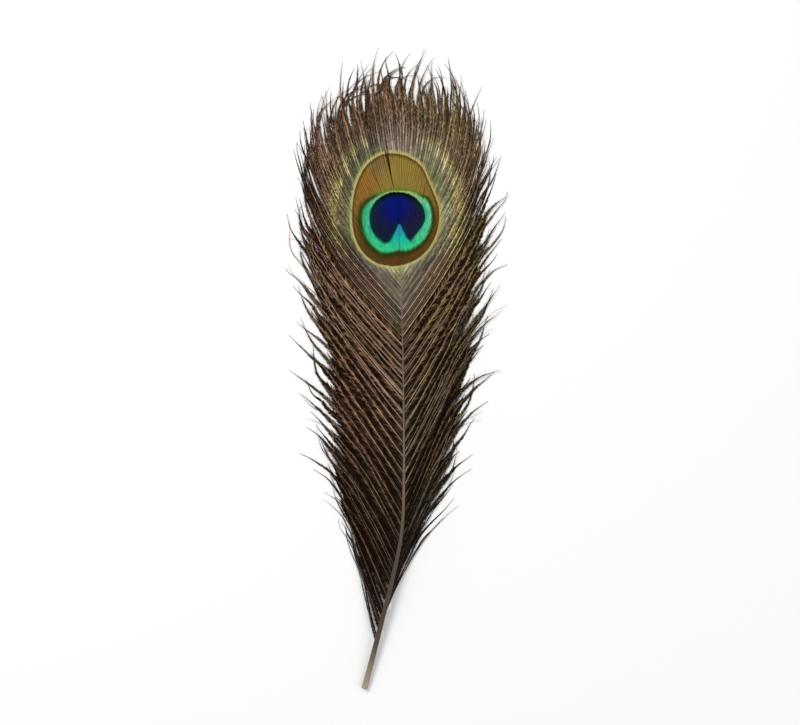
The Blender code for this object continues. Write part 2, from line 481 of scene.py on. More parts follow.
@dataclass(frozen=True)
class LockPlan:
    """How the solid parts its vane into locks."""

    web_from_y: float = 12.0
    web_to_y: float = 64.0
    web_locks: int = 13
    web_ragged: float = 1.25
    slit_low: float = 0.34
    slit_high: float = 0.56
    slit_high_y: float = 36.0
    loose_locks: int = 22
    loose_from_y: float = -127.0
    loose_top_gap: float = 0.5

    @property
    def loose_spacing(self) -> float:
        """The distance along the shaft between loose locks."""
        return (self.web_from_y - self.loose_from_y) / (self.loose_locks - 1 + self.loose_top_gap)

    @property
    def web_counts(self) -> list[int]:
        """How many barbs each of the web's locks has, from the lowest up."""
        return [3 if i < 3 else 4 if i < 6 else 5 for i in range(self.web_locks)]

    def slit(self, root_y: Array) -> Array:
        """The share of a web barb from which it is free of its neighbours."""
        return np.interp(root_y, (self.web_from_y, self.slit_high_y), (self.slit_low, self.slit_high))


@dataclass
class BarbLayout:
    """Lays out the barbs of one side, kept within half_box of the box's middle."""

    side: Side
    lines: VaneLines
    locks: LockPlan
    eye: EyePlan
    random: np.random.Generator
    samples: int = 96
    few_samples: int = 48
    whisker_count: int = 16
    half_box: tuple[float, float] = (51.2, 147.6)
    margin: float = 3.0
    slip: float = 0.1
    web_dress: Dress = Dress((0.2, 1.0), pitch=0.27, blade=0.34, bare=0.5, share=0.95, least=0.8, most=1.6)
    # crown_dress and under_dress, for the barbs that lie beneath the others, have low seeds that paint them
    # darker as shade
    crown_dress: Dress = Dress((0.0, 0.5), pitch=0.32, blade=0.42, bare=0.45, share=1.1, least=0.6, most=1.6)
    loose_dress: Dress = Dress((0.45, 1.0), pitch=0.2, blade=0.34, bare=0.6, share=0.9, least=0.8, most=3.0)
    under_dress: Dress = Dress((0.0, 0.4), pitch=0.27, blade=0.5, bare=0.5, share=0.85, least=0.6, most=2.4)
    whisker_dress: Dress = Dress((0.3, 1.0), pitch=0.4, blade=0.18, bare=0.4)

    def room_between(self, root_y: Array, step: Array, t: Array) -> Array:
        """The distance between barbs that leave the shaft a step apart, square to them.

        Args:
            root_y: Each barb's height on the shaft, of shape (barbs, 1).
            step: The distance along the shaft between neighbours, of the same shape.
            t: Shares along the barbs.

        Returns:
            The distance at each sample.
        """
        none = np.zeros_like(root_y)
        above = self.lines.plan(self.side, root_y + step / 2, t, none)
        below = self.lines.plan(self.side, root_y - step / 2, t, none)
        along = unit(np.gradient(above + below, axis=1))
        gap = above - below
        return np.abs(gap[..., 0] * along[..., 1] - gap[..., 1] * along[..., 0])

    def stray(self, t: Array, group: Array, most: float, hook: float) -> Array:
        """How far barbs wander to the crown's side: three waves that grow with t, and a hook at the end.

        Args:
            t: Shares along the barbs.
            group: The barbs that wander alike share a number.
            most: The spread of the waves, in millimetres.
            hook: The spread of the hook, in millimetres.

        Returns:
            The sideways move of each sample.
        """
        count = int(group.max()) + 1
        size, turn = self.random.normal(0, 1, (4, count, 1)), self.random.uniform(0, 1, (3, count, 1))
        size, turn = size[:, group], turn[:, group]
        slow = size[0] * t**1.5 * np.sin(2 * math.pi * (0.8 * t + turn[0]))
        quick = 0.35 * size[1] * t**1.5 * np.sin(2 * math.pi * (2.6 * t + turn[1]))
        fine = 0.12 * size[2] * t * np.sin(2 * math.pi * (7.0 * t + turn[2]))
        end = (0.5 + 0.9 * size[3]) * np.clip((t - 0.82) / 0.18, 0.0, 1.0) ** 2
        return most * (slow + quick + fine) + hook * end

    def wander(self, path: Array, amount: Array) -> Array:
        """The paths moved to the crown's side by an amount in millimetres."""
        crownward = level_right(unit(np.gradient(path, axis=1))) * -self.side.value
        return path + crownward * amount[..., None]

    def curled(self, path: Array, t: Array, turn: Array) -> Array:
        """The paths with their outer steps turned clockwise, seen from above, by turn times ease(t, 0.7, 1).

        Args:
            path: The barbs' points.
            t: Shares along the barbs.
            turn: Each barb's angle at its tip, in radians, of shape (barbs, 1).

        Returns:
            The new points, each the sum of the turned steps before it.
        """
        angle = (turn * ease(t, 0.7, 1.0))[:, 1:]
        steps = np.diff(path, axis=1)
        x = steps[..., 0] * np.cos(angle) + steps[..., 1] * np.sin(angle)
        y = steps[..., 1] * np.cos(angle) - steps[..., 0] * np.sin(angle)
        turned = stacked(x, y, steps[..., 2])
        return np.concatenate([path[:, :1], path[:, :1] + np.cumsum(turned, axis=1)], axis=1)

    def web(self) -> Strands:
        """The barbs round the eye: even in the web, then drawn together towards each lock's point.

        Those in the middle of the crown are curled over to the right.

        Returns:
            The barbs, lock by lock from the lowest up.
        """
        locks = self.locks
        edges = np.linspace(locks.web_from_y, locks.web_to_y, locks.web_locks + 1)
        counts = locks.web_counts
        lock = np.repeat(np.arange(locks.web_locks), counts)
        within = np.concatenate([(np.arange(n) + 0.5) / n for n in counts])
        width = edges[1] - edges[0]
        root_y = (edges[lock] + width * within)[:, None]
        step = (width / np.array(counts)[lock])[:, None]
        count = len(lock)
        length = 1 - 0.16 * self.random.uniform(0, 1, (count, 1)) ** 1.5
        t = np.linspace(0.0, 1.0, self.samples)[None, :] * length
        own = self.lines.points(self.side, root_y, t, 0.3 * self.random.normal(0, 1, (count, 1)))
        ragged = locks.web_ragged * ragged_share(self.side, lock)[:, None]
        middle = self.lines.points(self.side, edges[lock][:, None] + width / 2, t, ragged)
        slit = locks.slit(root_y)
        free = np.clip((t - slit) / (1 - slit), 0.0, 1.0)
        draw = self.random.uniform(0.3, 1.0, (count, 1))
        path = own + (middle - own) * (draw * free**2)[..., None]
        amount = self.stray(t, lock, most=0.9, hook=3.4)
        amount = amount + self.stray(t, np.arange(count), most=0.8, hook=1.6)
        path = self.wander(path, amount * ease(free, -0.1, 0.6))
        for parting in self.eye.slits:
            path[..., 0] += parting.push(path[..., 0], path[..., 1])
        tip = path[:, -1:]
        swept = ease(tip[..., 1], 122.0, 138.0) * (1 - ease(tip[..., 0], 4.0, 22.0))
        turn = swept * self.random.uniform(0.4, 2.1, (count, 1)) + self.random.normal(0, 0.3, (count, 1))
        path = self.curled(path, t, turn)
        path[..., 2] += self.lift(t, count, most=1.1)
        room = self.room_between(root_y, step, t)
        closed = 1 - ease(free, 0.1, self.random.uniform(0.35, 0.95, (count, 1)))
        strands = self.strands(path, room, self.web_dress.fringe(room, closed), self.web_dress)
        # low in the web each lock's first barb is the brightest
        strands.seed *= 1 - 0.62 * (within > 0.4) * (1 - ease(root_y[:, 0], 20.0, 34.0))
        return strands

    def web_under(self) -> Strands:
        """Thin barbs low between those of the crown, from where they leave the web, painted darker by their
        low seeds as shade beneath the others.

        Returns:
            The barbs, three a lock.
        """
        locks = self.locks
        width = (locks.web_to_y - locks.web_from_y) / locks.web_locks
        count = 3 * locks.web_locks
        place = np.arange(count) + self.random.uniform(0, 1, count)
        root_y = (locks.web_from_y + width * place / 3)[:, None]
        end = self.random.uniform(0.7, 0.97, (count, 1))
        start = locks.slit(root_y) - 0.12
        t = start + (end - start) * np.linspace(0.0, 1.0, self.few_samples)[None, :]
        path = self.lines.points(self.side, root_y, t, self.random.normal(0, 0.8, (count, 1)))
        path = self.wander(path, self.stray(t, np.arange(count), most=1.5, hook=2.4))
        path[..., 2] = np.maximum(path[..., 2] - 0.5, 0.14)
        room = self.room_between(root_y, np.full_like(root_y, width / 3), t)
        fringe = self.crown_dress.fringe(room, 1 - ease(t, 0.55, 0.8))
        return self.strands(path, room, fringe, self.crown_dress)

    def loose(self) -> Strands:
        """The separate barbs below the web.

        Returns:
            The barbs, one for each of the solid's loose locks.
        """
        spacing = self.locks.loose_spacing
        index = np.arange(self.locks.loose_locks)
        count = len(index)
        place = index + self.random.uniform(-0.12, 0.12, count)
        root_y = (self.locks.loose_from_y + spacing * place)[:, None]
        t = np.linspace(0.0, 1.0, self.samples)[None, :] * self.random.uniform(0.94, 1.0, (count, 1))
        path = self.lines.points(self.side, root_y, t, ragged_share(self.side, index)[:, None])
        path = self.wander(path, self.stray(t, index, most=1.4, hook=3.0))
        path = self.curled(path, t, self.random.normal(0, 0.3, (count, 1)))
        path[..., 2] += self.lift(t, count, most=1.4)
        room = self.room_between(root_y, np.full_like(root_y, spacing), t)
        fringe = self.loose_dress.fringe(room, 1 - ease(t, 0.35, 0.9)) * self.bare_low(root_y)
        return self.strands(path, room, fringe, self.loose_dress)

    def under(self) -> Strands:
        """Thinner barbs that fill the gaps between the separate ones from below, painted darker by their low
        seeds as shade beneath the others.

        Returns:
            The barbs, two for each loose lock but the last.
        """
        spacing = self.locks.loose_spacing
        index = np.arange(2 * self.locks.loose_locks - 1)
        count = len(index)
        place = (index + 0.5) / 2 + self.random.uniform(-0.16, 0.16, count)
        root_y = (self.locks.loose_from_y + spacing * place)[:, None]
        end = self.random.uniform(0.66, 0.96, (count, 1))
        t = np.linspace(0.0, 1.0, self.few_samples)[None, :] * end
        path = self.lines.points(self.side, root_y, t, self.random.normal(0, 1.0, (count, 1)))
        path = self.wander(path, self.stray(t, index, most=1.8, hook=3.0))
        path[..., 2] = np.maximum(path[..., 2] - 0.5 * ease(t, 0.01, 0.15), 0.16)
        room = self.room_between(root_y, np.full_like(root_y, spacing), t)
        fringe = self.under_dress.fringe(room, 1 - ease(t, 0.45, 0.9)) * self.bare_low(root_y)
        return self.strands(path, room, fringe, self.under_dress)

    def whiskers(self) -> Strands:
        """Thin, almost bare barbs that cross the others and stand clear of them at the vane's edge.

        Returns:
            The barbs, at random heights below the web.
        """
        count = self.whisker_count
        root_y = self.random.uniform(self.locks.loose_from_y, self.locks.web_from_y, (count, 1))
        end = self.random.uniform(0.86, 1.0, (count, 1))
        t = np.linspace(0.0, 1.0, self.few_samples)[None, :] * end
        path = self.lines.points(self.side, root_y, t, self.random.normal(0, 1.2, (count, 1)))
        path = self.wander(path, self.stray(t, np.arange(count), most=3.0, hook=5.0))
        path = self.curled(path, t, self.random.normal(0, 0.6, (count, 1)))
        path[..., 2] += 0.3 * ease(t, 0.1, 0.3) + self.lift(t, count, most=2.5)
        room = self.room_between(root_y, np.full_like(root_y, self.locks.loose_spacing), t)
        return self.strands(path, room, np.full_like(room, self.whisker_dress.bare), self.whisker_dress)

    def bare_low(self, root_y: Array) -> Array:
        """The share of the barbules' reach that is left on the lowest barbs, which are nearly bare."""
        return 0.16 + 0.84 * ease(root_y, -134.0, -88.0)

    def held(self, path: Array) -> Array:
        """The paths kept inside the solid's box.

        Past the box's edge less margin, over becomes margin (1 - exp(-over / margin)).

        Args:
            path: The barbs' points, which are changed in place.

        Returns:
            The same points.
        """
        offset = path[..., :2] - BOX_MIDDLE[:2]
        over = np.maximum(np.abs(offset) - (np.array(self.half_box) - self.margin), 0.0)
        back = over - self.margin * (1 - np.exp(-over / self.margin))
        path[..., :2] -= np.sign(offset) * back
        return path

    def lift(self, t: Array, count: int, most: float) -> Array:
        """How far each barb's outer part rises off the surface: most, times a share, times t^4."""
        return most * self.random.uniform(0.0, 1.0, (count, 1)) ** 2 * t**4

    def strands(self, path: Array, room: Array, fringe: Array, dress: Dress) -> Strands:
        """Puts the arrays together, with each barb's own seed and slip.

        Args:
            path: The barbs' points.
            room: The distance between neighbours at each sample.
            fringe: The barbules' reach at each sample.
            dress: How the set is shaded and fringed.

        Returns:
            The set of barbs.
        """
        seed = self.random.uniform(*dress.seeds, len(path))
        slip = self.random.normal(0.0, self.slip, len(path))
        return Strands(self.held(path), room, fringe, seed, slip, dress)


# --------------------------------------------------------------------------------------------------
# Meshes


@dataclass
class Shape:
    """A mesh in the making: points in the feather's plan, faces, and what its materials read."""

    points: Array
    faces: list[Array]
    place: Array
    strand: Array
    sheet: Array
    smooth: bool = True

    def __post_init__(self) -> None:
        """Lays the arrays out with a row for each point."""
        vectors = (self.points, self.place, self.strand)
        self.points, self.place, self.strand = (v.reshape(-1, 3) for v in vectors)
        self.sheet = self.sheet.reshape(-1, 2)

    def object(self, name: str, material: bpy.types.Material) -> bpy.types.Object:
        """Writes the mesh in metres and links it as a piece of the feather.

        Args:
            name: The piece's name.
            material: What it wears.

        Returns:
            The new object, riding on the feather's body in place of its solid.
        """
        mesh = bpy.data.meshes.new(name)
        mesh.vertices.add(len(self.points))
        mesh.vertices.foreach_set("co", ((self.points - BOX_MIDDLE) * MM).astype(np.float32).ravel())
        sizes = np.concatenate([np.full(len(f), f.shape[1]) for f in self.faces])
        corners = np.concatenate([f.ravel() for f in self.faces]).astype(np.int32)
        mesh.loops.add(len(corners))
        mesh.loops.foreach_set("vertex_index", corners)
        mesh.polygons.add(len(sizes))
        starts = np.concatenate([[0], np.cumsum(sizes)[:-1]]).astype(np.int32)
        mesh.polygons.foreach_set("loop_start", starts)
        mesh.polygons.foreach_set("use_smooth", np.full(len(sizes), self.smooth))
        for title, values in (("place", self.place), ("strand", self.strand)):
            layer = mesh.attributes.new(title, "FLOAT_VECTOR", "POINT")
            layer.data.foreach_set("vector", values.astype(np.float32).ravel())
        uv = mesh.uv_layers.new(name="OFBake", do_init=False)
        uv.uv.foreach_set("vector", self.sheet[corners].astype(np.float32).ravel())
        mesh.update(calc_edges=True)
        mesh.validate()
        piece = bpy.data.objects.new(name, mesh)
        bpy.context.scene.collection.objects.link(piece)
        piece.data.materials.append(material)
        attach(piece, BODY)
        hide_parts(NODE)
        LOG.info("%s: %d triangles", name, int((sizes - 2).sum()))
        return piece


def tube_faces(tubes: int, rings: int, around: int) -> list[Array]:
    """The faces of many closed tubes whose points run ring by ring.

    Args:
        tubes: The number of tubes.
        rings: Rings along each tube.
        around: Points round each ring, an even number.

    Returns:
        The side quads, and the quads that close both ends.
    """
    base = (np.arange(tubes) * rings * around)[:, None, None]
    i = np.arange(rings - 1)[None, :, None] * around
    j = np.arange(around)[None, None, :]
    after = (j + 1) % around
    sides = stacked(base + i + j, base + i + around + j, base + i + around + after, base + i + after)
    fan = np.array([(0, k, k + 1, k + 2) for k in range(1, around - 2, 2)])
    start = base + fan
    end = start[..., ::-1] + (rings - 1) * around
    return [sides.reshape(-1, 4), start.reshape(-1, 4), end.reshape(-1, 4)]


@dataclass(frozen=True)
class BarbShape:
    """The section of a barb: a round ramus, which widens to a flat ribbon where barbs join."""

    eye: EyePlan
    around: int = 6
    ramus_width: float = 0.42
    ramus_tip: float = 0.1
    ramus_flatness: float = 0.9
    ribbon_share: float = 1.18
    ribbon_height: float = 0.14
    roll: float = 4.0
    end_share: float = 0.3

    def of(self, strands: Strands) -> Shape:
        """The barbs' mesh: on each ring, across w/2 cos(a) + up h/2 sin(a), turned by the ribbon's roll.

        Args:
            strands: The barbs' courses.

        Returns:
            The closed tubes and ribbons.
        """
        joined = self.eye.joined(strands.path[..., 0], strands.path[..., 1])
        taper = 1 - (1 - self.ramus_tip / self.ramus_width) * strands.own**1.3
        ramus = self.ramus_width * taper * (0.6 + 0.4 * strands.seed[:, None])
        ramus = np.minimum(ramus, 0.45 * strands.room + 0.05)
        flat = ramus * self.ramus_flatness
        width = ramus + (self.ribbon_share * strands.room - ramus) * joined
        high = flat + (self.ribbon_height - flat) * joined
        width[:, -1] *= self.end_share
        high[:, -1] *= self.end_share
        roll = np.radians(self.roll) * joined[..., None]
        across = strands.across * np.cos(roll) + strands.up * np.sin(roll)
        up = strands.up * np.cos(roll) - strands.across * np.sin(roll)
        angle = np.arange(self.around) / self.around * 2 * math.pi
        ring_across = (width[..., None] / 2 * np.cos(angle))[..., None] * across[:, :, None, :]
        ring_up = (high[..., None] / 2 * np.sin(angle))[..., None] * up[:, :, None, :]
        points = strands.path[:, :, None, :] + ring_across + ring_up
        tubes, rings = strands.own.shape
        slip, seed = strands.slip[:, None, None], strands.seed[:, None, None]
        place = stacked(points[..., 0], points[..., 1] + slip, seed)
        aside, arc = np.cos(angle)[None, None, :], strands.arc[..., None]
        strand = stacked(strands.own[..., None], aside, arc)
        row = np.arange(tubes)[:, None, None]
        sheet = stacked(arc / strands.arc.max(), (row + 0.5 + 0.45 * aside) / tubes)
        return Shape(points, tube_faces(tubes, rings, self.around), place, strand, sheet)


@dataclass(frozen=True)
class FringeShape:
    """The barbules: a row of fine closed spikes on each side of every barb."""

    eye: EyePlan
    random: np.random.Generator
    height: float = 0.07
    angle: float = 27.0
    angle_spread: float = 6.0
    least_lean: float = 0.2
    droop: float = 0.1
    sink: float = 0.2
    jitter: float = 0.45
    under_ribbons: int = 2
    tuft: float = 0.8
    gather: float = 0.3
    least_height: float = 0.03

    def of(self, strands: Strands) -> Shape:
        """The barbules' mesh.

        A spike has a flat triangle for its root, on the barb's middle line, and its point lies reach
        away across the barb, leaning towards the barb's tip. Spikes within a tuft's length lean alike
        and gather at their points. Under the eye's ribbons, where they only stand as painted shade in
        the slits between the ribbons, one in under_ribbons is made.

        Args:
            strands: The barbs that carry them.

        Returns:
            The closed spikes.
        """
        pitch, blade = strands.dress.pitch, strands.dress.blade
        counts = np.floor(strands.arc[:, -1] / pitch).astype(int)
        barb = np.repeat(np.repeat(np.arange(len(counts)), counts), 2)
        number = np.repeat(np.concatenate([np.arange(n) for n in counts]), 2)
        hand = np.tile([-1.0, 1.0], counts.sum())
        distance = (number + 0.5 + self.random.uniform(-self.jitter, self.jitter, len(barb))) * pitch
        samples = strands.path.shape[1]
        # the arc grows almost evenly with the sample, so a straight scale finds the sample well enough
        at = np.clip(distance / strands.arc[barb, -1] * (samples - 1), 0, samples - 1.001)
        nearest = strands.path[barb, np.round(at).astype(int)]
        kept = (self.eye.joined(nearest[:, 0], nearest[:, 1]) < 0.9) | (number % self.under_ribbons == 0)
        barb, hand, at, number = barb[kept], hand[kept], at[kept], number[kept]
        total = len(barb)
        tuft_size = round(self.tuft / pitch)
        tuft = (barb * 2 + (hand > 0)) * (counts.max() // tuft_size + 1) + number // tuft_size
        tuft_turn = self.random.normal(0, 1, tuft.max() + 1)[tuft]
        tuft_shade = self.random.uniform(0, 1, tuft.max() + 1)[tuft]
        off_middle = ((number % tuft_size + 0.5) - tuft_size / 2) * pitch
        root, along, across, up, share, reach, arc = (
            strands.read(values, barb, at)
            for values in (strands.path, strands.along, strands.across, strands.up,
                           strands.own, strands.fringe, strands.arc)
        )
        joined = self.eye.joined(root[:, 0], root[:, 1])
        root = root - up * (self.sink * joined)[:, None]
        reach = reach * self.random.uniform(0.6, 1.2, total) * (1 - 0.8 * ease(share, 0.8, 1.0))
        turn = 0.8 * tuft_turn + 0.5 * self.random.normal(0, 1, total)
        lean = np.maximum(np.radians(self.angle + self.angle_spread * turn), self.least_lean)[:, None]
        sideways = across * hand[:, None]
        way = unit(along * np.cos(lean) + sideways * np.sin(lean) - up * self.droop)
        edge = unit(np.cross(up, way))
        normal = np.cross(way, edge)
        length = (reach / np.sin(lean[:, 0]))[:, None]
        half = edge * blade / 2 * (1 - 0.5 * ease(share, 0.8, 1.0))[:, None]
        bend = self.random.normal(0, 0.08, (total, 1)) - 0.1 * joined[:, None]
        tip = root + way * length + normal * bend - along * (self.gather * off_middle)[:, None]
        points = np.stack([root - half, root + half, root + normal * self.height, tip], axis=1)
        points[..., 2] = np.maximum(points[..., 2], self.least_height)
        corner = np.array([(0, 1, 3), (1, 2, 3), (2, 0, 3), (0, 2, 1)])
        faces = (np.arange(total) * 4)[:, None, None] + corner
        slip, seed = strands.slip[barb][:, None], strands.seed[barb][:, None]
        place = stacked(points[..., 0], points[..., 1] + slip, seed)
        out = np.array([0.0, 0.0, 0.0, 1.0])
        own = 0.6 * tuft_shade + 0.4 * self.random.uniform(0, 1, total)
        strand = stacked(share[:, None], out[None, :], own[:, None])
        shift = np.array([-0.5, 0.5, 0.0, 0.0]) * blade
        sheet = stacked((arc[:, None] + shift) / strands.arc.max(),
                        (barb[:, None] + 0.5 + 0.45 * hand[:, None] * out) / len(counts))
        return Shape(points, [faces.reshape(-1, 3)], place, strand, sheet, smooth=False)


# --------------------------------------------------------------------------------------------------
# Node trees


class Wire:
    """A number or colour on its way through a node tree, so that its formulas can be written out."""

    def __init__(self, tree: bpy.types.NodeTree, socket: bpy.types.NodeSocket) -> None:
        """Holds a socket of a tree."""
        self.tree = tree
        self.socket = socket

    def node(self, kind: str, inputs: dict[int | str, object], output: int | str = 0,
             **settings: object) -> Wire:
        """Adds a node beside this one.

        Args:
            kind: The node's type.
            inputs: What goes into its sockets, as wires or values.
            output: The socket to read.
            settings: The node's own properties.

        Returns:
            The wire that leaves it.
        """
        return add_node(self.tree, kind, inputs, output, **settings)

    def math(self, operation: str, *others: Wire | float) -> Wire:
        """This number and the others through a Math node."""
        return self.node("ShaderNodeMath", dict(enumerate((self, *others))), operation=operation)

    def __add__(self, other: Wire | float) -> Wire:
        """Sum."""
        return self.math("ADD", other)

    def __sub__(self, other: Wire | float) -> Wire:
        """Difference."""
        return self.math("SUBTRACT", other)

    def __rsub__(self, other: float) -> Wire:
        """A plain number less this one."""
        return self * -1.0 + other

    def __mul__(self, other: Wire | float) -> Wire:
        """Product."""
        return self.math("MULTIPLY", other)

    def __truediv__(self, other: Wire | float) -> Wire:
        """Quotient."""
        return self.math("DIVIDE", other)

    def __pow__(self, other: Wire | float) -> Wire:
        """Power."""
        return self.math("POWER", other)

    def most(self, other: Wire | float) -> Wire:
        """The larger of the two."""
        return self.math("MAXIMUM", other)

    def soft_most(self, other: Wire, softness: float) -> Wire:
        """The larger of the two, rounded off where they come within softness of each other."""
        return self.math("SMOOTH_MAX", other, softness)

    def size(self) -> Wire:
        """The number without its sign."""
        return self.math("ABSOLUTE")

    def eased(self, low: Wire | float, high: Wire | float, start: float = 0.0, end: float = 1.0) -> Wire:
        """A smooth step from start, up to low, to end, from high."""
        return self.node("ShaderNodeMapRange", {0: self, 1: low, 2: high, 3: start, 4: end},
                         interpolation_type="SMOOTHSTEP")

    def mixed(self, first: Wire | Colour, second: Wire | Colour) -> Wire:
        """The first colour where this share is 0 and the second where it is 1."""
        return self.node("ShaderNodeMix", {0: self, 6: first, 7: second}, 2,
                         data_type="RGBA", clamp_factor=True)

    def shaded(self, shade: Wire | float) -> Wire:
        """This colour made lighter or darker by a factor."""
        return self.node("ShaderNodeVectorMath", {0: self, "Scale": shade}, operation="SCALE")

    def saturated(self, factor: Wire | float) -> Wire:
        """This colour made stronger or greyer by a factor."""
        return self.node("ShaderNodeHueSaturation", {"Saturation": factor, "Color": self})


def feed_socket(tree: bpy.types.NodeTree, socket: bpy.types.NodeSocket, value: object) -> None:
    """Links a wire to a socket, or sets the socket to a value that is the same all over.

    Args:
        tree: The socket's tree.
        socket: What is fed.
        value: A wire, a number or a colour.
    """
    if isinstance(value, Wire):
        tree.links.new(value.socket, socket)
    else:
        socket.default_value = value


def add_node(tree: bpy.types.NodeTree, kind: str, inputs: dict[int | str, object],
             output: int | str = 0, **settings: object) -> Wire:
    """Adds a node to a tree and feeds it.

    Args:
        tree: Where it goes.
        kind: The node's type.
        inputs: What goes into its sockets, as wires or values.
        output: The socket to read.
        settings: The node's own properties.

    Returns:
        The wire that leaves it.
    """
    made = tree.nodes.new(kind)
    for title, value in settings.items():
        setattr(made, title, value)
    for key, value in inputs.items():
        feed_socket(tree, made.inputs[key], value)
    return Wire(tree, made.outputs[output])


def parts(wire: Wire) -> tuple[Wire, Wire, Wire]:
    """The three numbers of a vector.

    Args:
        wire: The vector.

    Returns:
        Its x, y and z.
    """
    made = wire.tree.nodes.new("ShaderNodeSeparateXYZ")
    wire.tree.links.new(wire.socket, made.inputs[0])
    return tuple(Wire(wire.tree, made.outputs[i]) for i in range(3))


def joint(x: Wire, y: Wire | float, z: Wire | float) -> Wire:
    """A vector of three numbers."""
    return x.node("ShaderNodeCombineXYZ", {0: x, 1: y, 2: z})


def noise(vector: Wire, scale: float, detail: float = 2.0) -> Wire:
    """Soft noise about one half."""
    return vector.node("ShaderNodeTexNoise", {"Vector": vector, "Scale": scale, "Detail": detail})


class Group:
    """A node group in the making: its sockets, and the wires that come in."""

    def __init__(self, name: str, inputs: dict[str, str], outputs: dict[str, str]) -> None:
        """Makes the group with its named sockets.

        Args:
            name: The group's name.
            inputs: Each incoming socket's name and kind.
            outputs: Each outgoing socket's name and kind.
        """
        self.tree = bpy.data.node_groups.new(name, "ShaderNodeTree")
        for way, sockets in (("INPUT", inputs), ("OUTPUT", outputs)):
            for title, kind in sockets.items():
                self.tree.interface.new_socket(title, in_out=way, socket_type=f"NodeSocket{kind}")
        self.entry = self.tree.nodes.new("NodeGroupInput")
        self.exit = self.tree.nodes.new("NodeGroupOutput")

    def wire(self, title: str) -> Wire:
        """What comes in at a socket."""
        return Wire(self.tree, self.entry.outputs[title])

    def give(self, title: str, wire: Wire) -> None:
        """Sends a wire out of the group."""
        self.tree.links.new(wire.socket, self.exit.inputs[title])

    def used(self, tree: bpy.types.NodeTree, **inputs: Wire | float) -> dict[str, Wire]:
        """Places the group in a tree.

        Args:
            tree: The material's or another group's tree.
            inputs: What goes into its sockets.

        Returns:
            Its outputs by name.
        """
        made = tree.nodes.new("ShaderNodeGroup")
        made.node_tree = self.tree
        for title, value in inputs.items():
            feed_socket(tree, made.inputs[title], value)
        return {out.name: Wire(tree, out) for out in made.outputs}


@dataclass(frozen=True)
class EyePaint:
    """The colours of the eye's bands."""

    blue: Colour = paint(8, 20, 104)
    blue_purple: Colour = paint(34, 22, 62)
    blue_edge: Colour = paint(20, 28, 52)
    blue_rim: Colour = paint(0, 46, 42)
    blue_rim_top: Colour = paint(4, 20, 6)
    wedge_tip: Colour = paint(54, 126, 184)
    wedge_foot: Colour = paint(16, 186, 166)
    teal_left: Colour = paint(60, 168, 114)
    teal_right: Colour = paint(106, 208, 150)
    teal_low: Colour = paint(54, 196, 134)
    teal_inner: Colour = paint(66, 174, 140)
    teal_pale: Colour = paint(124, 186, 124)
    teal_rim: Colour = paint(36, 80, 28)
    top_rim: Colour = paint(172, 200, 114)
    olive: Colour = paint(34, 54, 10)
    olive_top: Colour = paint(102, 120, 38)
    bronze_high: Colour = paint(144, 121, 52)
    bronze_middle: Colour = paint(106, 76, 18)
    bronze_side: Colour = paint(138, 95, 36)
    bronze_low: Colour = paint(91, 60, 20)
    bronze_mauve: Colour = paint(109, 84, 66)
    ring: Colour = paint(197, 191, 120)
    ring_right: Colour = paint(200, 180, 100)
    ring_inner: Colour = paint(84, 62, 16)


@dataclass(frozen=True)
class VanePaint:
    """The colours of the barbs away from the eye."""

    left: Colour = paint(176, 132, 99)
    right: Colour = paint(161, 130, 88)
    rose: Colour = paint(160, 104, 92)
    olive: Colour = paint(144, 130, 70)
    low: Colour = paint(104, 80, 60)
    grey_green: Colour = paint(126, 125, 76)
    grey_green_right: Colour = paint(184, 180, 122)
    yellow_green: Colour = paint(200, 188, 112)
    mauve_grey: Colour = paint(149, 127, 105)
    foot: Colour = paint(168, 165, 88)
    foot_grey: Colour = paint(142, 125, 99)
    shade: Colour = paint(24, 8, 1)


@dataclass(frozen=True)
class Spot:
    """The place that a group is asked about: its numbers, and noise that runs along its barb."""

    place: Wire
    x: Wire
    y: Wire
    seed: Wire
    grain: Wire


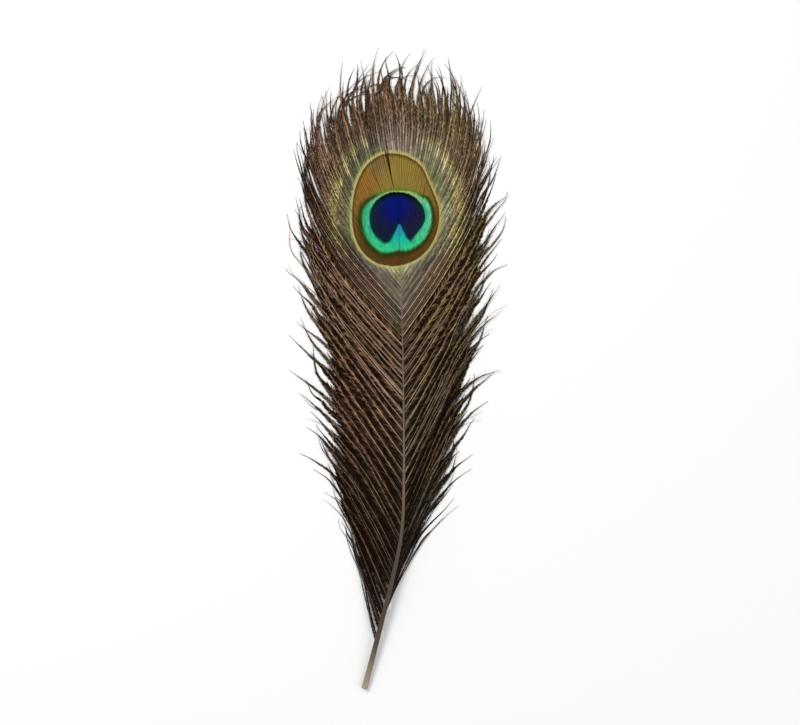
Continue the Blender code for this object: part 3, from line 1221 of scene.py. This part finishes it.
class FeatherNodes:
    """The node groups that the feather's materials share."""

    def __init__(self, eye: EyePlan, eye_paint: EyePaint, vane_paint: VanePaint) -> None:
        """Builds each group once.

        Args:
            eye: The eye's bands.
            eye_paint: Their colours.
            vane_paint: The colours of the barbs round them.
        """
        self.eye = eye
        self.eye_paint = eye_paint
        self.vane_paint = vane_paint
        self.oval = self.make_oval()
        self.bands = self.make_bands()
        self.tint = self.make_tint()

    def make_oval(self) -> Group:
        """How far out a place lies from an oval's middle: the sum of two powers, as Oval.reach has it.

        Returns:
            The group, which takes an oval's numbers and gives Reach.
        """
        numbers = dict.fromkeys(("X", "Y", "Wide", "Up", "Down", "Power"), "Float")
        group = Group("oval_reach", {"Place": "Vector", **numbers}, {"Reach": "Float"})
        x, y, _ = parts(group.wire("Place"))
        power = group.wire("Power")
        aside = (x - group.wire("X")).size() / group.wire("Wide")
        rise = y - group.wire("Y")
        tall = (rise / group.wire("Up")).most(rise * -1.0 / group.wire("Down"))
        group.give("Reach", (aside**power + tall**power) ** (power**-1.0))
        return group

    def reach(self, place: Wire, oval: Oval) -> Wire:
        """The oval group set to one oval."""
        return self.oval.used(place.tree, Place=place, X=oval.x, Y=oval.y, Wide=oval.wide, Up=oval.up,
                              Down=oval.down, Power=oval.power)["Reach"]

    def cut(self, spot: Spot, flat: Flat, oval: Oval) -> Wire:
        """A straight cut in an oval's measure: 1 on its line, more outside it.

        Args:
            spot: The place.
            flat: The cut.
            oval: The oval that it trims.

        Returns:
            How far out the place lies.
        """
        turn = math.radians(flat.turn)
        across = (spot.x - flat.x) * math.cos(turn) - (spot.y - flat.y) * math.sin(turn)
        return across / oval.wide + 1.0

    def egg_reach(self, spot: Spot, oval: Oval, flat: Flat) -> Wire:
        """How far out a place lies in the ring's or the bronze's egg: the bowed oval with its cut.

        Args:
            spot: The place.
            oval: The egg's oval.
            flat: Its cut.

        Returns:
            0 in the middle and 1 on the outline.
        """
        off = spot.y - self.eye.bow_y
        bowed = joint(spot.x + off * off * self.eye.bow, spot.y, spot.seed)
        return self.reach(bowed, oval).soft_most(self.cut(spot, flat, oval), self.eye.egg_softness)

    def teal_reach(self, spot: Spot) -> Wire:
        """How far out a place lies in the teal: two ovals, the underside lifted and notched.

        Args:
            spot: The place.

        Returns:
            0 in the middle and 1 on the outline.
        """
        eye, x, y = self.eye, spot.x, spot.y
        notch = (x - eye.notch_x).size().eased(eye.notch_width / 2, 0.0, 0.0, eye.notch_depth)
        lift = (x.eased(-7.0, 0.0, 0.0, eye.teal_lift) + notch) * y.eased(70.0, 60.0)
        teal = self.reach(joint(x, y - lift, spot.seed), eye.teal)
        return teal.most(self.reach(spot.place, eye.teal_top))

    def blue_reach(self, spot: Spot, oval: Wire) -> Wire:
        """How far out a place lies in the blue: an oval, less its cut and its wedge.

        Below its tip the wedge is half as wide as blunt + slope * depth, and a millimetre wider for each
        one past the depth where its side flares.

        Args:
            spot: The place.
            oval: How far out it lies in the blue's oval.

        Returns:
            0 in the middle and 1 on the outline.
        """
        eye = self.eye
        aside = spot.x - eye.wedge_x
        depth = eye.wedge_y - spot.y
        below, over = depth.most(0.0), (depth * -1.0).most(0.0)
        flare = aside.eased(-0.4, 0.4, eye.flare_left, eye.flare_right)
        half = below * eye.wedge_slope + (below - flare).most(0.0) + eye.wedge_blunt - over * 1.5
        wedge = (half - aside.size()) / eye.blue.wide + 1.0
        blue = oval.soft_most(self.cut(spot, eye.blue_flat, eye.blue), eye.blue_softness)
        return blue.soft_most(wedge, eye.blue_softness)

    def bronze(self, spot: Spot, reach: Wire) -> Wire:
        """The bronze: deep below, paler above, tan at its sides, a mauve patch, and dark along the ring.

        Args:
            spot: The place.
            reach: How far out it lies in the bronze.

        Returns:
            The colour.
        """
        x, y, grain, colours = spot.x, spot.y, spot.grain, self.eye_paint
        level = y + grain * 6.0
        ground = level.eased(50.0, 66.0).mixed(colours.bronze_low, colours.bronze_middle)
        ground = level.eased(66.0, 86.0).mixed(ground, colours.bronze_high)
        aside = (x + grain * 4.0).eased(2.0, -13.0, 0.0, 0.85).most(x.eased(6.0, 17.0, 0.0, 0.25))
        aside = aside * y.eased(58.0, 76.0) * y.eased(98.0, 84.0, 0.3, 1.0)
        ground = aside.mixed(ground, colours.bronze_side)
        mauve = self.reach(spot.place, self.eye.mauve).eased(1.1, 0.2, 0.0, 0.55)
        ground = mauve.mixed(ground, colours.bronze_mauve)
        return reach.eased(0.93, 0.985, 0.0, 0.85).mixed(ground, colours.ring_inner)

    def teal(self, spot: Spot, ground: Wire, reach: Wire, blue_oval: Wire) -> Wire:
        """The teal on the bronze: olive round it, a dark rim, a pale upper edge, and the wedge in it.

        Args:
            spot: The place.
            ground: The bronze's colour.
            reach: How far out the place lies in the teal.
            blue_oval: How far out it lies in the blue's oval.

        Returns:
            The colour of both.
        """
        x, y, colours = spot.x, spot.y, self.eye_paint
        above = y.eased(76.0, 79.5)
        olive = above.mixed(colours.olive, colours.olive_top)
        ground = reach.eased(x.eased(2.0, 14.0, 1.17, 1.1), 1.02, 0.0, 0.92).mixed(ground, olive)
        side = x.eased(-12.0, 14.0).mixed(colours.teal_left, colours.teal_right)
        green = y.eased(64.0, 54.0).mixed(side, colours.teal_low)
        green = (blue_oval.eased(1.2, 1.0) * y.eased(56.0, 62.0)).mixed(green, colours.teal_inner)
        green = green.shaded(spot.grain.eased(0.3, 0.7, 0.8, 1.15))
        green = y.eased(72.0, 76.0).mixed(green, colours.teal_pale)
        green = above.mixed(green, colours.top_rim)
        green = (reach.eased(0.905, 0.995) * (1.0 - above * 0.8)).mixed(green, colours.teal_rim)
        in_wedge = (x - self.eye.wedge_x).size().eased(7.0, 2.0) * y.eased(51.5, 58.0) * y.eased(70.0, 67.0)
        green = in_wedge.mixed(green, y.eased(56.0, 64.0).mixed(colours.wedge_foot, colours.wedge_tip))
        return reach.eased(1.015, 0.99).mixed(ground, green)

    def blue(self, spot: Spot, ground: Wire, reach: Wire) -> Wire:
        """The blue on the teal: purple at the right, dark along its rim, and softer at its foot.

        Args:
            spot: The place.
            ground: The teal's colour.
            reach: How far out the place lies in the blue.

        Returns:
            The colour of both.
        """
        x, y, colours = spot.x, spot.y, self.eye_paint
        middle = self.reach(spot.place, self.eye.blue_middle)
        deep = middle.eased(3.0, 11.0).mixed(colours.blue, colours.blue_edge)
        deep = (x.eased(2.0, 8.0) * y.eased(74.0, 64.0, 0.1, 0.6)).mixed(deep, colours.blue_purple)
        rim = y.eased(70.0, 77.0).mixed(colours.blue_rim, colours.blue_rim_top)
        edge = reach + y.eased(68.0, 77.0, 0.0, 0.07)
        deep = (edge.eased(0.8, 0.97) * y.eased(55.0, 64.0, 0.35, 1.0)).mixed(deep, rim)
        soft = y.eased(62.0, 56.0)
        share = reach.eased(1.015, 0.965) * (1.0 - soft) + reach.eased(1.06, 0.9) * soft
        return share.mixed(ground, deep)

    def parting_shade(self, spot: Spot) -> Wire:
        """How much painted shade lies along the slits where the eye's barbs part.

        Args:
            spot: The place.

        Returns:
            Nearly 1 on each one's line, falling to 0 over a width that grows towards its upper end.
        """
        dark = spot.x * 0.0
        for slit in self.eye.slits:
            (top_x, top_y), (_, bottom_y) = slit.top, slit.bottom
            distance = (spot.x - top_x - (spot.y - top_y) * slit.lean).size()
            within = spot.y.eased(bottom_y - 0.5, bottom_y + 2.0) * spot.y.eased(top_y + 4.0, top_y)
            half = spot.y.eased(bottom_y, top_y, slit.width * 0.6, slit.width)
            dark = dark.most(distance.eased(half, half * 0.35, 0.0, 0.97) * within)
        return dark

    def make_bands(self) -> Group:
        """The eye: its bands, from the bronze ground inwards, with painted shade along its slits and the
        ring on them.

        Returns:
            The group, which gives the bands' Colour, how far they are Metal, the Mask of the eye, and how
            Near to the eye a place is.
        """
        group = Group("eye_bands", {"Place": "Vector"},
                      {"Colour": "Color", "Metal": "Float", "Mask": "Float", "Near": "Float"})
        colours, eye, place = self.eye_paint, self.eye, group.wire("Place")
        x, y, seed = parts(place)
        grain = noise(joint(x * 1.6, y * 0.12, seed * 40.0), 1.0)
        spot = Spot(place, x, y, seed, grain)
        bronze = self.egg_reach(spot, eye.bronze, eye.bronze_flat)
        ring = self.egg_reach(spot, eye.ring, eye.ring_flat)
        teal = self.teal_reach(spot)
        blue_oval = self.reach(place, eye.blue)
        colour = self.teal(spot, self.bronze(spot, bronze), teal, blue_oval)
        colour = self.blue(spot, colour, self.blue_reach(spot, blue_oval))
        parting = self.parting_shade(spot)
        # painted shade along the slits where the eye's barbs part
        colour = parting.mixed(colour, self.vane_paint.shade)
        pale = bronze.eased(0.99, 1.015) * (1.0 - parting * 0.9)
        colour = pale.mixed(colour, x.eased(8.0, 19.0).mixed(colours.ring, colours.ring_right))
        group.give("Colour", colour.shaded(grain.eased(0.3, 0.7, 0.87, 1.13)))
        group.give("Metal", bronze.eased(1.0, 0.9) * teal.eased(1.1, 1.0, 0.4, 0.85))
        group.give("Mask", (ring + (grain - 0.5) * 0.1).eased(1.025, 0.965))
        web = self.reach(place, eye.web)
        beside = web.eased(1.7, 1.15) * y.eased(46.0, 68.0, 0.35, 1.0)
        group.give("Near", beside.most(web.eased(2.9, 1.5) * y.eased(84.0, 98.0)))
        return group

    def vane(self, spot: Spot) -> Wire:
        """The barbs far from the eye: brown, with patches of rose and olive, and darker low down.

        Args:
            spot: The place.

        Returns:
            The colour.
        """
        x, y, colours = spot.x, spot.y, self.vane_paint
        patch = noise(joint(x * 0.035, y * 0.03, spot.seed * 3.0), 1.0)
        colour = x.eased(-8.0, 12.0).mixed(colours.left, colours.right)
        colour = (patch.eased(0.5, 0.7) * x.eased(2.0, -20.0, 0.1, 0.55)).mixed(colour, colours.rose)
        colour = (patch.eased(0.48, 0.36) * 0.6).mixed(colour, colours.olive)
        return (y + spot.grain * 20.0).eased(-20.0, -90.0, 0.0, 0.85).mixed(colour, colours.low)

    def halo(self, spot: Spot, colour: Wire, near: Wire) -> Wire:
        """The barbs that pass the eye: grey-green next to the ring, then yellow-green, mauve-grey above.

        Args:
            spot: The place.
            colour: The vane's colour.
            near: How far out the place lies in the web, made uneven.

        Returns:
            The colour.
        """
        x, y, colours = spot.x, spot.y, self.vane_paint
        aside = (x - self.eye.web.x).size().eased(5.0, 14.0) * y.eased(44.0, 58.0) * y.eased(112.0, 98.0)
        glow = near.eased(1.14, 1.24) * near.eased(1.6, 1.3) * aside
        colour = (glow * 0.85).mixed(colour, colours.yellow_green)
        crown = near.eased(1.95, 1.4) * y.eased(84.0, 98.0) * (glow * -0.6 + 0.85)
        colour = crown.most(near.eased(1.3, 1.18)).mixed(colour, colours.mauve_grey)
        right = x.eased(-6.0, 8.0) * y.eased(86.0, 70.0, 0.3, 1.0)
        grey_green = right.mixed(colours.grey_green, colours.grey_green_right)
        return (near.eased(1.24, 1.14) * aside).mixed(colour, grey_green)

    def foot(self, spot: Spot, colour: Wire) -> Wire:
        """The foot under the ring: grey, then pale yellow-green where its middle meets the ring.

        Args:
            spot: The place.
            colour: The colour round it.

        Returns:
            The colour.
        """
        y, colours = spot.y, self.vane_paint
        off_axis = (spot.x - self.eye.foot_x).size()
        half = (y - 10.0).most(0.0) * 0.36
        foot = (off_axis - half).eased(2.0, -3.0) * y.eased(12.0, 28.0) * y.eased(60.0, 50.0)
        pale = (y + spot.grain * 6.0 - off_axis * 0.9).eased(38.0, 45.0)
        return (foot * 0.9).mixed(colour, pale.mixed(colours.foot_grey, colours.foot))

    def shade(self, spot: Spot, near: Wire) -> Wire:
        """How light the barbs are: each by its seed, brighter beside the eye, darker low down, and with
        painted shade next to the ring.

        Args:
            spot: The place.
            near: How far out the place lies in the web, made uneven.

        Returns:
            A factor for the colour.
        """
        x, y = spot.x, spot.y
        shade = spot.seed.eased(0.0, 1.0, 0.3, 1.15) * spot.grain.eased(0.25, 0.75, 0.65, 1.3)
        shade = shade * y.eased(10.0, -100.0, 1.0, 0.56) * y.eased(0.0, 30.0, 0.8, 1.1)
        shade = shade * (x.eased(10.0, 22.0) * y.eased(15.0, 45.0, 0.0, 0.22) + 1.0)
        shade = shade * (x.eased(2.0, -10.0) * y.eased(-5.0, -30.0, 0.0, 0.3) + 1.0)
        shade = shade * y.eased(92.0, 112.0, 1.0, 0.86)
        # painted shade of the ring on the barbs next to it, at its right and its lower left
        low_left = x.eased(-4.0, -12.0) * y.eased(62.0, 52.0)
        ring_shade = near.eased(1.22, 1.06) * (x.eased(5.0, 13.0) * y.eased(98.0, 84.0)).most(low_left)
        return shade * (1.0 - ring_shade * y.eased(70.0, 56.0, 0.34, 0.48))

    def make_tint(self) -> Group:
        """The barbs' own colours away from the eye, before light and shade across each barb.

        Returns:
            The group, which takes the share Along the barb too and gives Colour.
        """
        group = Group("vane_tint", {"Place": "Vector", "Along": "Float"}, {"Colour": "Color"})
        place = group.wire("Place")
        x, y, seed = parts(place)
        fine = noise(joint(x * 0.5, y * 0.12, seed * 60.0), 1.0)
        spot = Spot(place, x, y, seed, fine)
        near = self.reach(place, self.eye.web) + (fine - 0.5) * 0.24
        colour = self.foot(spot, self.halo(spot, self.vane(spot), near))
        at_tip = group.wire("Along").eased(0.72, 1.0) * y.eased(90.0, 122.0, 0.55, 0.15)
        group.give("Colour", colour.shaded(self.shade(spot, near) * (1.0 - at_tip)))
        return group


class Surface:
    """A material in the making, and what feeds its shader."""

    def __init__(self, name: str) -> None:
        """Makes a material with its node tree and its surface shader.

        Args:
            name: The material's name.
        """
        self.material = bpy.data.materials.new(name)
        self.material.use_nodes = True
        self.tree = self.material.node_tree
        self.shader = self.tree.nodes["Principled BSDF"]

    def attribute(self, name: str) -> Wire:
        """What the mesh says at each point under a name."""
        return add_node(self.tree, "ShaderNodeAttribute", {}, "Vector", attribute_name=name)

    def feed(self, title: str, value: Wire | Colour | float) -> None:
        """Gives a socket of the shader a wire, or a value that is the same all over."""
        feed_socket(self.tree, self.shader.inputs[title], value)

    def bump(self, height: Wire, strength: float, metres: float) -> None:
        """Raises the surface where height is high, by so many metres at full strength."""
        inputs = {"Height": height, "Strength": strength, "Distance": metres}
        self.feed("Normal", add_node(self.tree, "ShaderNodeBump", inputs))


@dataclass(frozen=True)
class BarbFinish:
    """Barbs: satin keratin with painted shade down each edge, and the eye's bands where they widen."""

    roughness: float = 0.42
    specular: float = 0.09
    barbule_pitch: float = 0.26
    edge: float = 0.8
    bump_strength: float = 0.25
    bump_metres: float = 0.00004

    def material(self, nodes: FeatherNodes) -> bpy.types.Material:
        """The barbs' material: fine slanting lines of barbules, sin(2 pi (arc - |across|/2) / pitch).

        Args:
            nodes: The feather's node groups.

        Returns:
            The new material.
        """
        surface = Surface("barb_keratin")
        place, strand = surface.attribute("place"), surface.attribute("strand")
        t, across, arc = parts(strand)
        seed = parts(place)[2]
        bands = nodes.bands.used(surface.tree, Place=place)
        tint = nodes.tint.used(surface.tree, Place=place, Along=t)["Colour"]
        bright = (t * -0.3 + 1.42) * (1.0 - bands["Near"] * 0.16)
        fleck = noise(joint(arc * 0.6, seed * 60.0, 0.0), 1.0).eased(0.35, 0.65, -0.55, 0.35)
        bright = bright * (fleck * t.eased(0.12, 0.5) * (1.0 - bands["Near"] * 0.5) + 1.0)
        pale = tint.saturated(bands["Near"] * 0.13 + 0.7).shaded(bright)
        colour = bands["Mask"].mixed(pale, bands["Colour"])
        # painted shade down both edges of each barb: strong on the round rami, faint between the eye's
        # ribbons, uneven from barb to barb
        painted_edge_shade = across.size().eased(self.edge, 1.0)
        dark = painted_edge_shade * bands["Mask"].eased(0.0, 1.0, 0.75, 0.06)
        dark = dark * (seed * 7.0).math("FRACT").eased(0.0, 1.0, 0.4, 1.6)
        surface.feed("Base Color", dark.mixed(colour, nodes.vane_paint.shade))
        surface.feed("Metallic", bands["Mask"] * bands["Metal"])
        surface.feed("Roughness", self.roughness)
        surface.feed("Specular IOR Level", self.specular)
        lines = ((arc - across.size() * 0.5) * (2 * math.pi / self.barbule_pitch)).math("SINE")
        surface.bump(lines, self.bump_strength, self.bump_metres)
        return surface.material


@dataclass(frozen=True)
class BarbuleFinish:
    """Barbules: painted shade where they leave the barb and over their ends, lighter between, and painted
    dark under the eye's ribbons.
    """

    roughness: float = 0.5
    specular: float = 0.04
    saturation: float = 1.05

    def material(self, nodes: FeatherNodes) -> bpy.types.Material:
        """The barbules' material.

        Args:
            nodes: The feather's node groups.

        Returns:
            The new material.
        """
        surface = Surface("barbule_keratin")
        place, strand = surface.attribute("place"), surface.attribute("strand")
        t, out, own = parts(strand)
        y = parts(place)[1]
        bands = nodes.bands.used(surface.tree, Place=place)
        tint = nodes.tint.used(surface.tree, Place=place, Along=t)["Colour"].saturated(self.saturation)
        # painted shade: a dark line where each barbule leaves the barb, and its outer part dark, the
        # brighter barbules darkening later
        root = out.eased(0.04, 0.17, 0.85, 0.0)
        end = (out - own * own * 0.75).eased(-0.12, 0.2, 0.0, 0.96)
        painted_shade_share = root.most(end) * (1.0 - bands["Near"] * 0.5)
        bright = own.eased(0.3, 0.85, 0.18, 0.84) * y.eased(0.0, -60.0, 1.0, 0.5)
        bright = bright * (bands["Near"] * 0.7 + 1.0)
        colour = painted_shade_share.mixed(tint.shaded(bright), nodes.vane_paint.shade)
        # painted shade: the barbules under the eye's ribbons are nearly as dark as the shade paint
        surface.feed("Base Color", (bands["Mask"] * 0.9).mixed(colour, nodes.vane_paint.shade))
        surface.feed("Roughness", self.roughness)
        surface.feed("Specular IOR Level", self.specular)
        return surface.material


@dataclass(frozen=True)
class ShaftFinish:
    """The quill and shaft: cream at the cut, grey-brown above it, tan in the vane, striped lengthwise."""

    cream: Colour = paint(182, 170, 146)
    grey_brown: Colour = paint(84, 71, 60)
    tan: Colour = paint(116, 100, 84)
    roughness: float = 0.38
    specular: float = 0.25
    bump_strength: float = 0.3
    bump_metres: float = 0.0001

    def material(self, nodes: FeatherNodes) -> bpy.types.Material:
        """The shaft's material, which takes on the colours of the eye's bands where it crosses them.

        Args:
            nodes: The feather's node groups.

        Returns:
            The new material.
        """
        surface = Surface("shaft_keratin")
        place, strand = surface.attribute("place"), surface.attribute("strand")
        y = parts(place)[1]
        _, cosine, sine = parts(strand)
        bands = nodes.bands.used(surface.tree, Place=place)
        stripes = noise(joint(cosine * 3.0, sine * 3.0, y * 0.02), 2.5, 4.0)
        colour = (y + stripes * 14.0).eased(-146.0, -118.0).mixed(self.cream, self.grey_brown)
        colour = (y + stripes * 16.0).eased(-86.0, -40.0).mixed(colour, self.tan)
        colour = y.eased(16.0, 40.0, 0.0, 0.9).mixed(colour, nodes.vane_paint.mauve_grey)
        colour = bands["Mask"].mixed(colour, bands["Colour"].shaded(0.55))
        surface.feed("Base Color", colour.shaded(stripes.eased(0.3, 0.7, 0.8, 1.15)))
        surface.feed("Roughness", self.roughness)
        surface.feed("Specular IOR Level", self.specular)
        surface.bump(stripes, self.bump_strength, self.bump_metres)
        return surface.material


@dataclass(frozen=True)
class FloorFinish:
    """The plain pale floor."""

    colour: Colour = (0.86, 0.86, 0.86, 1.0)
    roughness: float = 0.7

    def material(self) -> bpy.types.Material:
        """The floor's material.

        Returns:
            The new material.
        """
        surface = Surface("pale_floor")
        surface.feed("Base Color", self.colour)
        surface.feed("Roughness", self.roughness)
        return surface.material


# --------------------------------------------------------------------------------------------------
# The sub-assemblies


@dataclass(frozen=True)
class Quill:
    """The quill and shaft: one turned skin along the shaft's line, hollow at the cut end."""

    shaft: ShaftLine
    around: int = 20
    rings: int = 150
    bore_depth: float = 6.0
    wall: float = 0.38
    rim: float = 0.12
    groove: float = 0.12
    groove_width: float = 0.4
    slope_step: float = 0.5

    def shape(self) -> Shape:
        """The skin: the bore's end, its wall, the cut rim, then the outside up to the closed tip.

        On each ring, centre + r (across cos(a) + up sin(a)), where r dips by groove exp(-(b/width)^2) at
        the angle b from the top.

        Returns:
            One closed tube.
        """
        line, step = self.shaft, self.slope_step
        cut = line.cut_end_y
        outside = cut + self.rim + (line.tip_y - cut - self.rim) * np.linspace(0, 1, self.rings) ** 1.1
        inner = line.quill_radius - self.wall
        bore_y = cut + np.array([self.bore_depth, self.bore_depth - 0.3, 3.0, 0.6, 0.08, 0.02])
        bore_radius = np.array([0.05, 0.6 * inner, 0.9 * inner, inner, inner + 0.04, inner + 0.12])
        y = np.concatenate([bore_y, [cut + 0.04], outside])
        radius = np.concatenate([bore_radius, [line.quill_radius - 0.06], line.radius(outside)])
        radius[-1] *= 0.2
        angle = -np.arange(self.around) / self.around * 2 * math.pi
        centre = stacked(line.x(y), y, line.z(y))
        rise = line.z(y + step) - line.z(y - step)
        along = unit(stacked(line.x(y + step) - line.x(y - step), 2 * step, rise))
        across = level_right(along)
        up = np.cross(across, along)
        from_top = (angle + math.pi / 2 + math.pi) % (2 * math.pi) - math.pi
        dent = 1 - self.groove * np.exp(-((from_top / self.groove_width) ** 2))
        ring = radius[:, None] * dent[None, :]
        points = (centre[:, None, :] + (ring * np.cos(-angle))[..., None] * across[:, None, :]
                  + (ring * np.sin(-angle))[..., None] * up[:, None, :])
        place = stacked(points[..., 0], points[..., 1], (y < outside[0])[:, None] * 1.0)
        strand = stacked(line.share(y)[:, None], np.cos(angle)[None, :], np.sin(angle)[None, :])
        lengthwise = np.arange(len(y)) / (len(y) - 1)
        sheet = stacked(lengthwise[:, None], np.arange(self.around)[None, :] / self.around)
        return Shape(points, tube_faces(1, len(y), self.around), place, strand, sheet)

    def build(self, nodes: FeatherNodes, finish: ShaftFinish) -> None:
        """Makes the shaft and dresses it."""
        self.shape().object("shaft", finish.material(nodes))


@dataclass(frozen=True)
class Vane:
    """The barbs and barbules of both sides."""

    shaft: ShaftLine
    locks: LockPlan
    eye: EyePlan
    seed: int = 7

    def build(self, barb: bpy.types.Material, barbule: bpy.types.Material) -> None:
        """Makes and dresses each side's barbs and their barbules.

        Args:
            barb: The barbs' material.
            barbule: The barbules' material.
        """
        barbs_of = BarbShape(self.eye)
        for side, word in ((Side.LEFT, "left"), (Side.RIGHT, "right")):
            for_barbs, for_barbules = np.random.default_rng((self.seed, side.value + 1)).spawn(2)
            layout = BarbLayout(side, VaneLines(self.shaft), self.locks, self.eye, for_barbs)
            fringe_of = FringeShape(self.eye, for_barbules)
            sets = {"eye": layout.web(), "crown_under": layout.web_under(), "loose": layout.loose(),
                    "under": layout.under(), "whisker": layout.whiskers()}
            for part, strands in sets.items():
                barbs_of.of(strands).object(f"{word}_{part}_barbs", barb)
                fringe_of.of(strands).object(f"{word}_{part}_barbules", barbule)


@dataclass(frozen=True)
class Lamp:
    """A square soft light that faces the feather."""

    name: str
    place: tuple[float, float, float]
    size: float
    power: float

    def build(self) -> None:
        """Hangs the light."""
        data = bpy.data.lights.new(self.name, "AREA")
        data.energy = self.power
        data.size = self.size
        light = bpy.data.objects.new(self.name, data)
        light.location = self.place
        light.rotation_euler = (-Vector(self.place)).to_track_quat("-Z", "Y").to_euler()
        bpy.context.scene.collection.objects.link(light)


@dataclass(frozen=True)
class Studio:
    """The pale floor, the soft lights and the camera that looks straight down.

    At feather_height, in metres, a pixel of the picture spans millimetres_a_pixel.
    """

    half_floor: float = 1.5
    sky: float = 0.55
    sky_colour: Colour = (1.0, 1.0, 1.0, 1.0)
    lamps: tuple[Lamp, ...] = (
        Lamp("key", (-0.7, 0.6, 1.2), 0.6, 14.0),
        Lamp("fill", (0.9, -0.3, 1.1), 1.0, 5.0),
    )
    picture: tuple[int, int] = (800, 725)
    millimetres_a_pixel: float = 0.458
    plan_origin_pixel: tuple[float, float] = (395.0, 364.0)
    feather_height: float = 0.004
    lens: float = 100.0
    sensor: float = 36.0

    def build(self, floor_finish: FloorFinish) -> None:
        """Makes the floor, the sky, the lights and the camera.

        Args:
            floor_finish: What the floor wears.
        """
        bpy.context.scene.view_settings.view_transform = "Standard"
        self.lay_floor(floor_finish)
        self.light_sky()
        for lamp in self.lamps:
            lamp.build()
        self.hang_camera()

    def lay_floor(self, finish: FloorFinish) -> None:
        """Lays the floor.

        Args:
            finish: What it wears.
        """
        mesh = bpy.data.meshes.new("floor")
        half = self.half_floor
        corners = [(-half, -half, 0), (half, -half, 0), (half, half, 0), (-half, half, 0)]
        mesh.from_pydata(corners, [], [(0, 1, 2, 3)])
        floor = bpy.data.objects.new("floor", mesh)
        bpy.context.scene.collection.objects.link(floor)
        floor.data.materials.append(finish.material())

    def light_sky(self) -> None:
        """Lights the scene evenly from all round."""
        world = bpy.data.worlds.new("studio")
        world.use_nodes = True
        sky = world.node_tree.nodes["Background"]
        sky.inputs["Color"].default_value = self.sky_colour
        sky.inputs["Strength"].default_value = self.sky
        bpy.context.scene.world = world

    def hang_camera(self) -> None:
        """Hangs the camera over the point of the plan that the picture's middle shows."""
        camera = bpy.data.objects.new("camera", bpy.data.cameras.new("camera"))
        camera.data.lens = self.lens
        camera.data.sensor_width = self.sensor
        wide, tall = self.picture
        middle = np.array([wide / 2 - self.plan_origin_pixel[0], self.plan_origin_pixel[1] - tall / 2])
        middle = middle * self.millimetres_a_pixel - BOX_MIDDLE[:2]
        height = wide * self.millimetres_a_pixel * self.lens / self.sensor
        camera.location = (middle[0] * MM, middle[1] * MM, height * MM + self.feather_height)
        bpy.context.scene.collection.objects.link(camera)
        bpy.context.scene.camera = camera


def main() -> None:
    """Builds the feather and its studio."""
    logging.basicConfig(level=logging.INFO, format="%(name)s %(message)s")
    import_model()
    shaft, eye = ShaftLine(), EyePlan()
    nodes = FeatherNodes(eye, EyePaint(), VanePaint())
    Quill(shaft).build(nodes, ShaftFinish())
    Vane(shaft, LockPlan(), eye).build(BarbFinish().material(nodes), BarbuleFinish().material(nodes))
    Studio().build(FloorFinish())


if __name__ == "__main__":
    main()
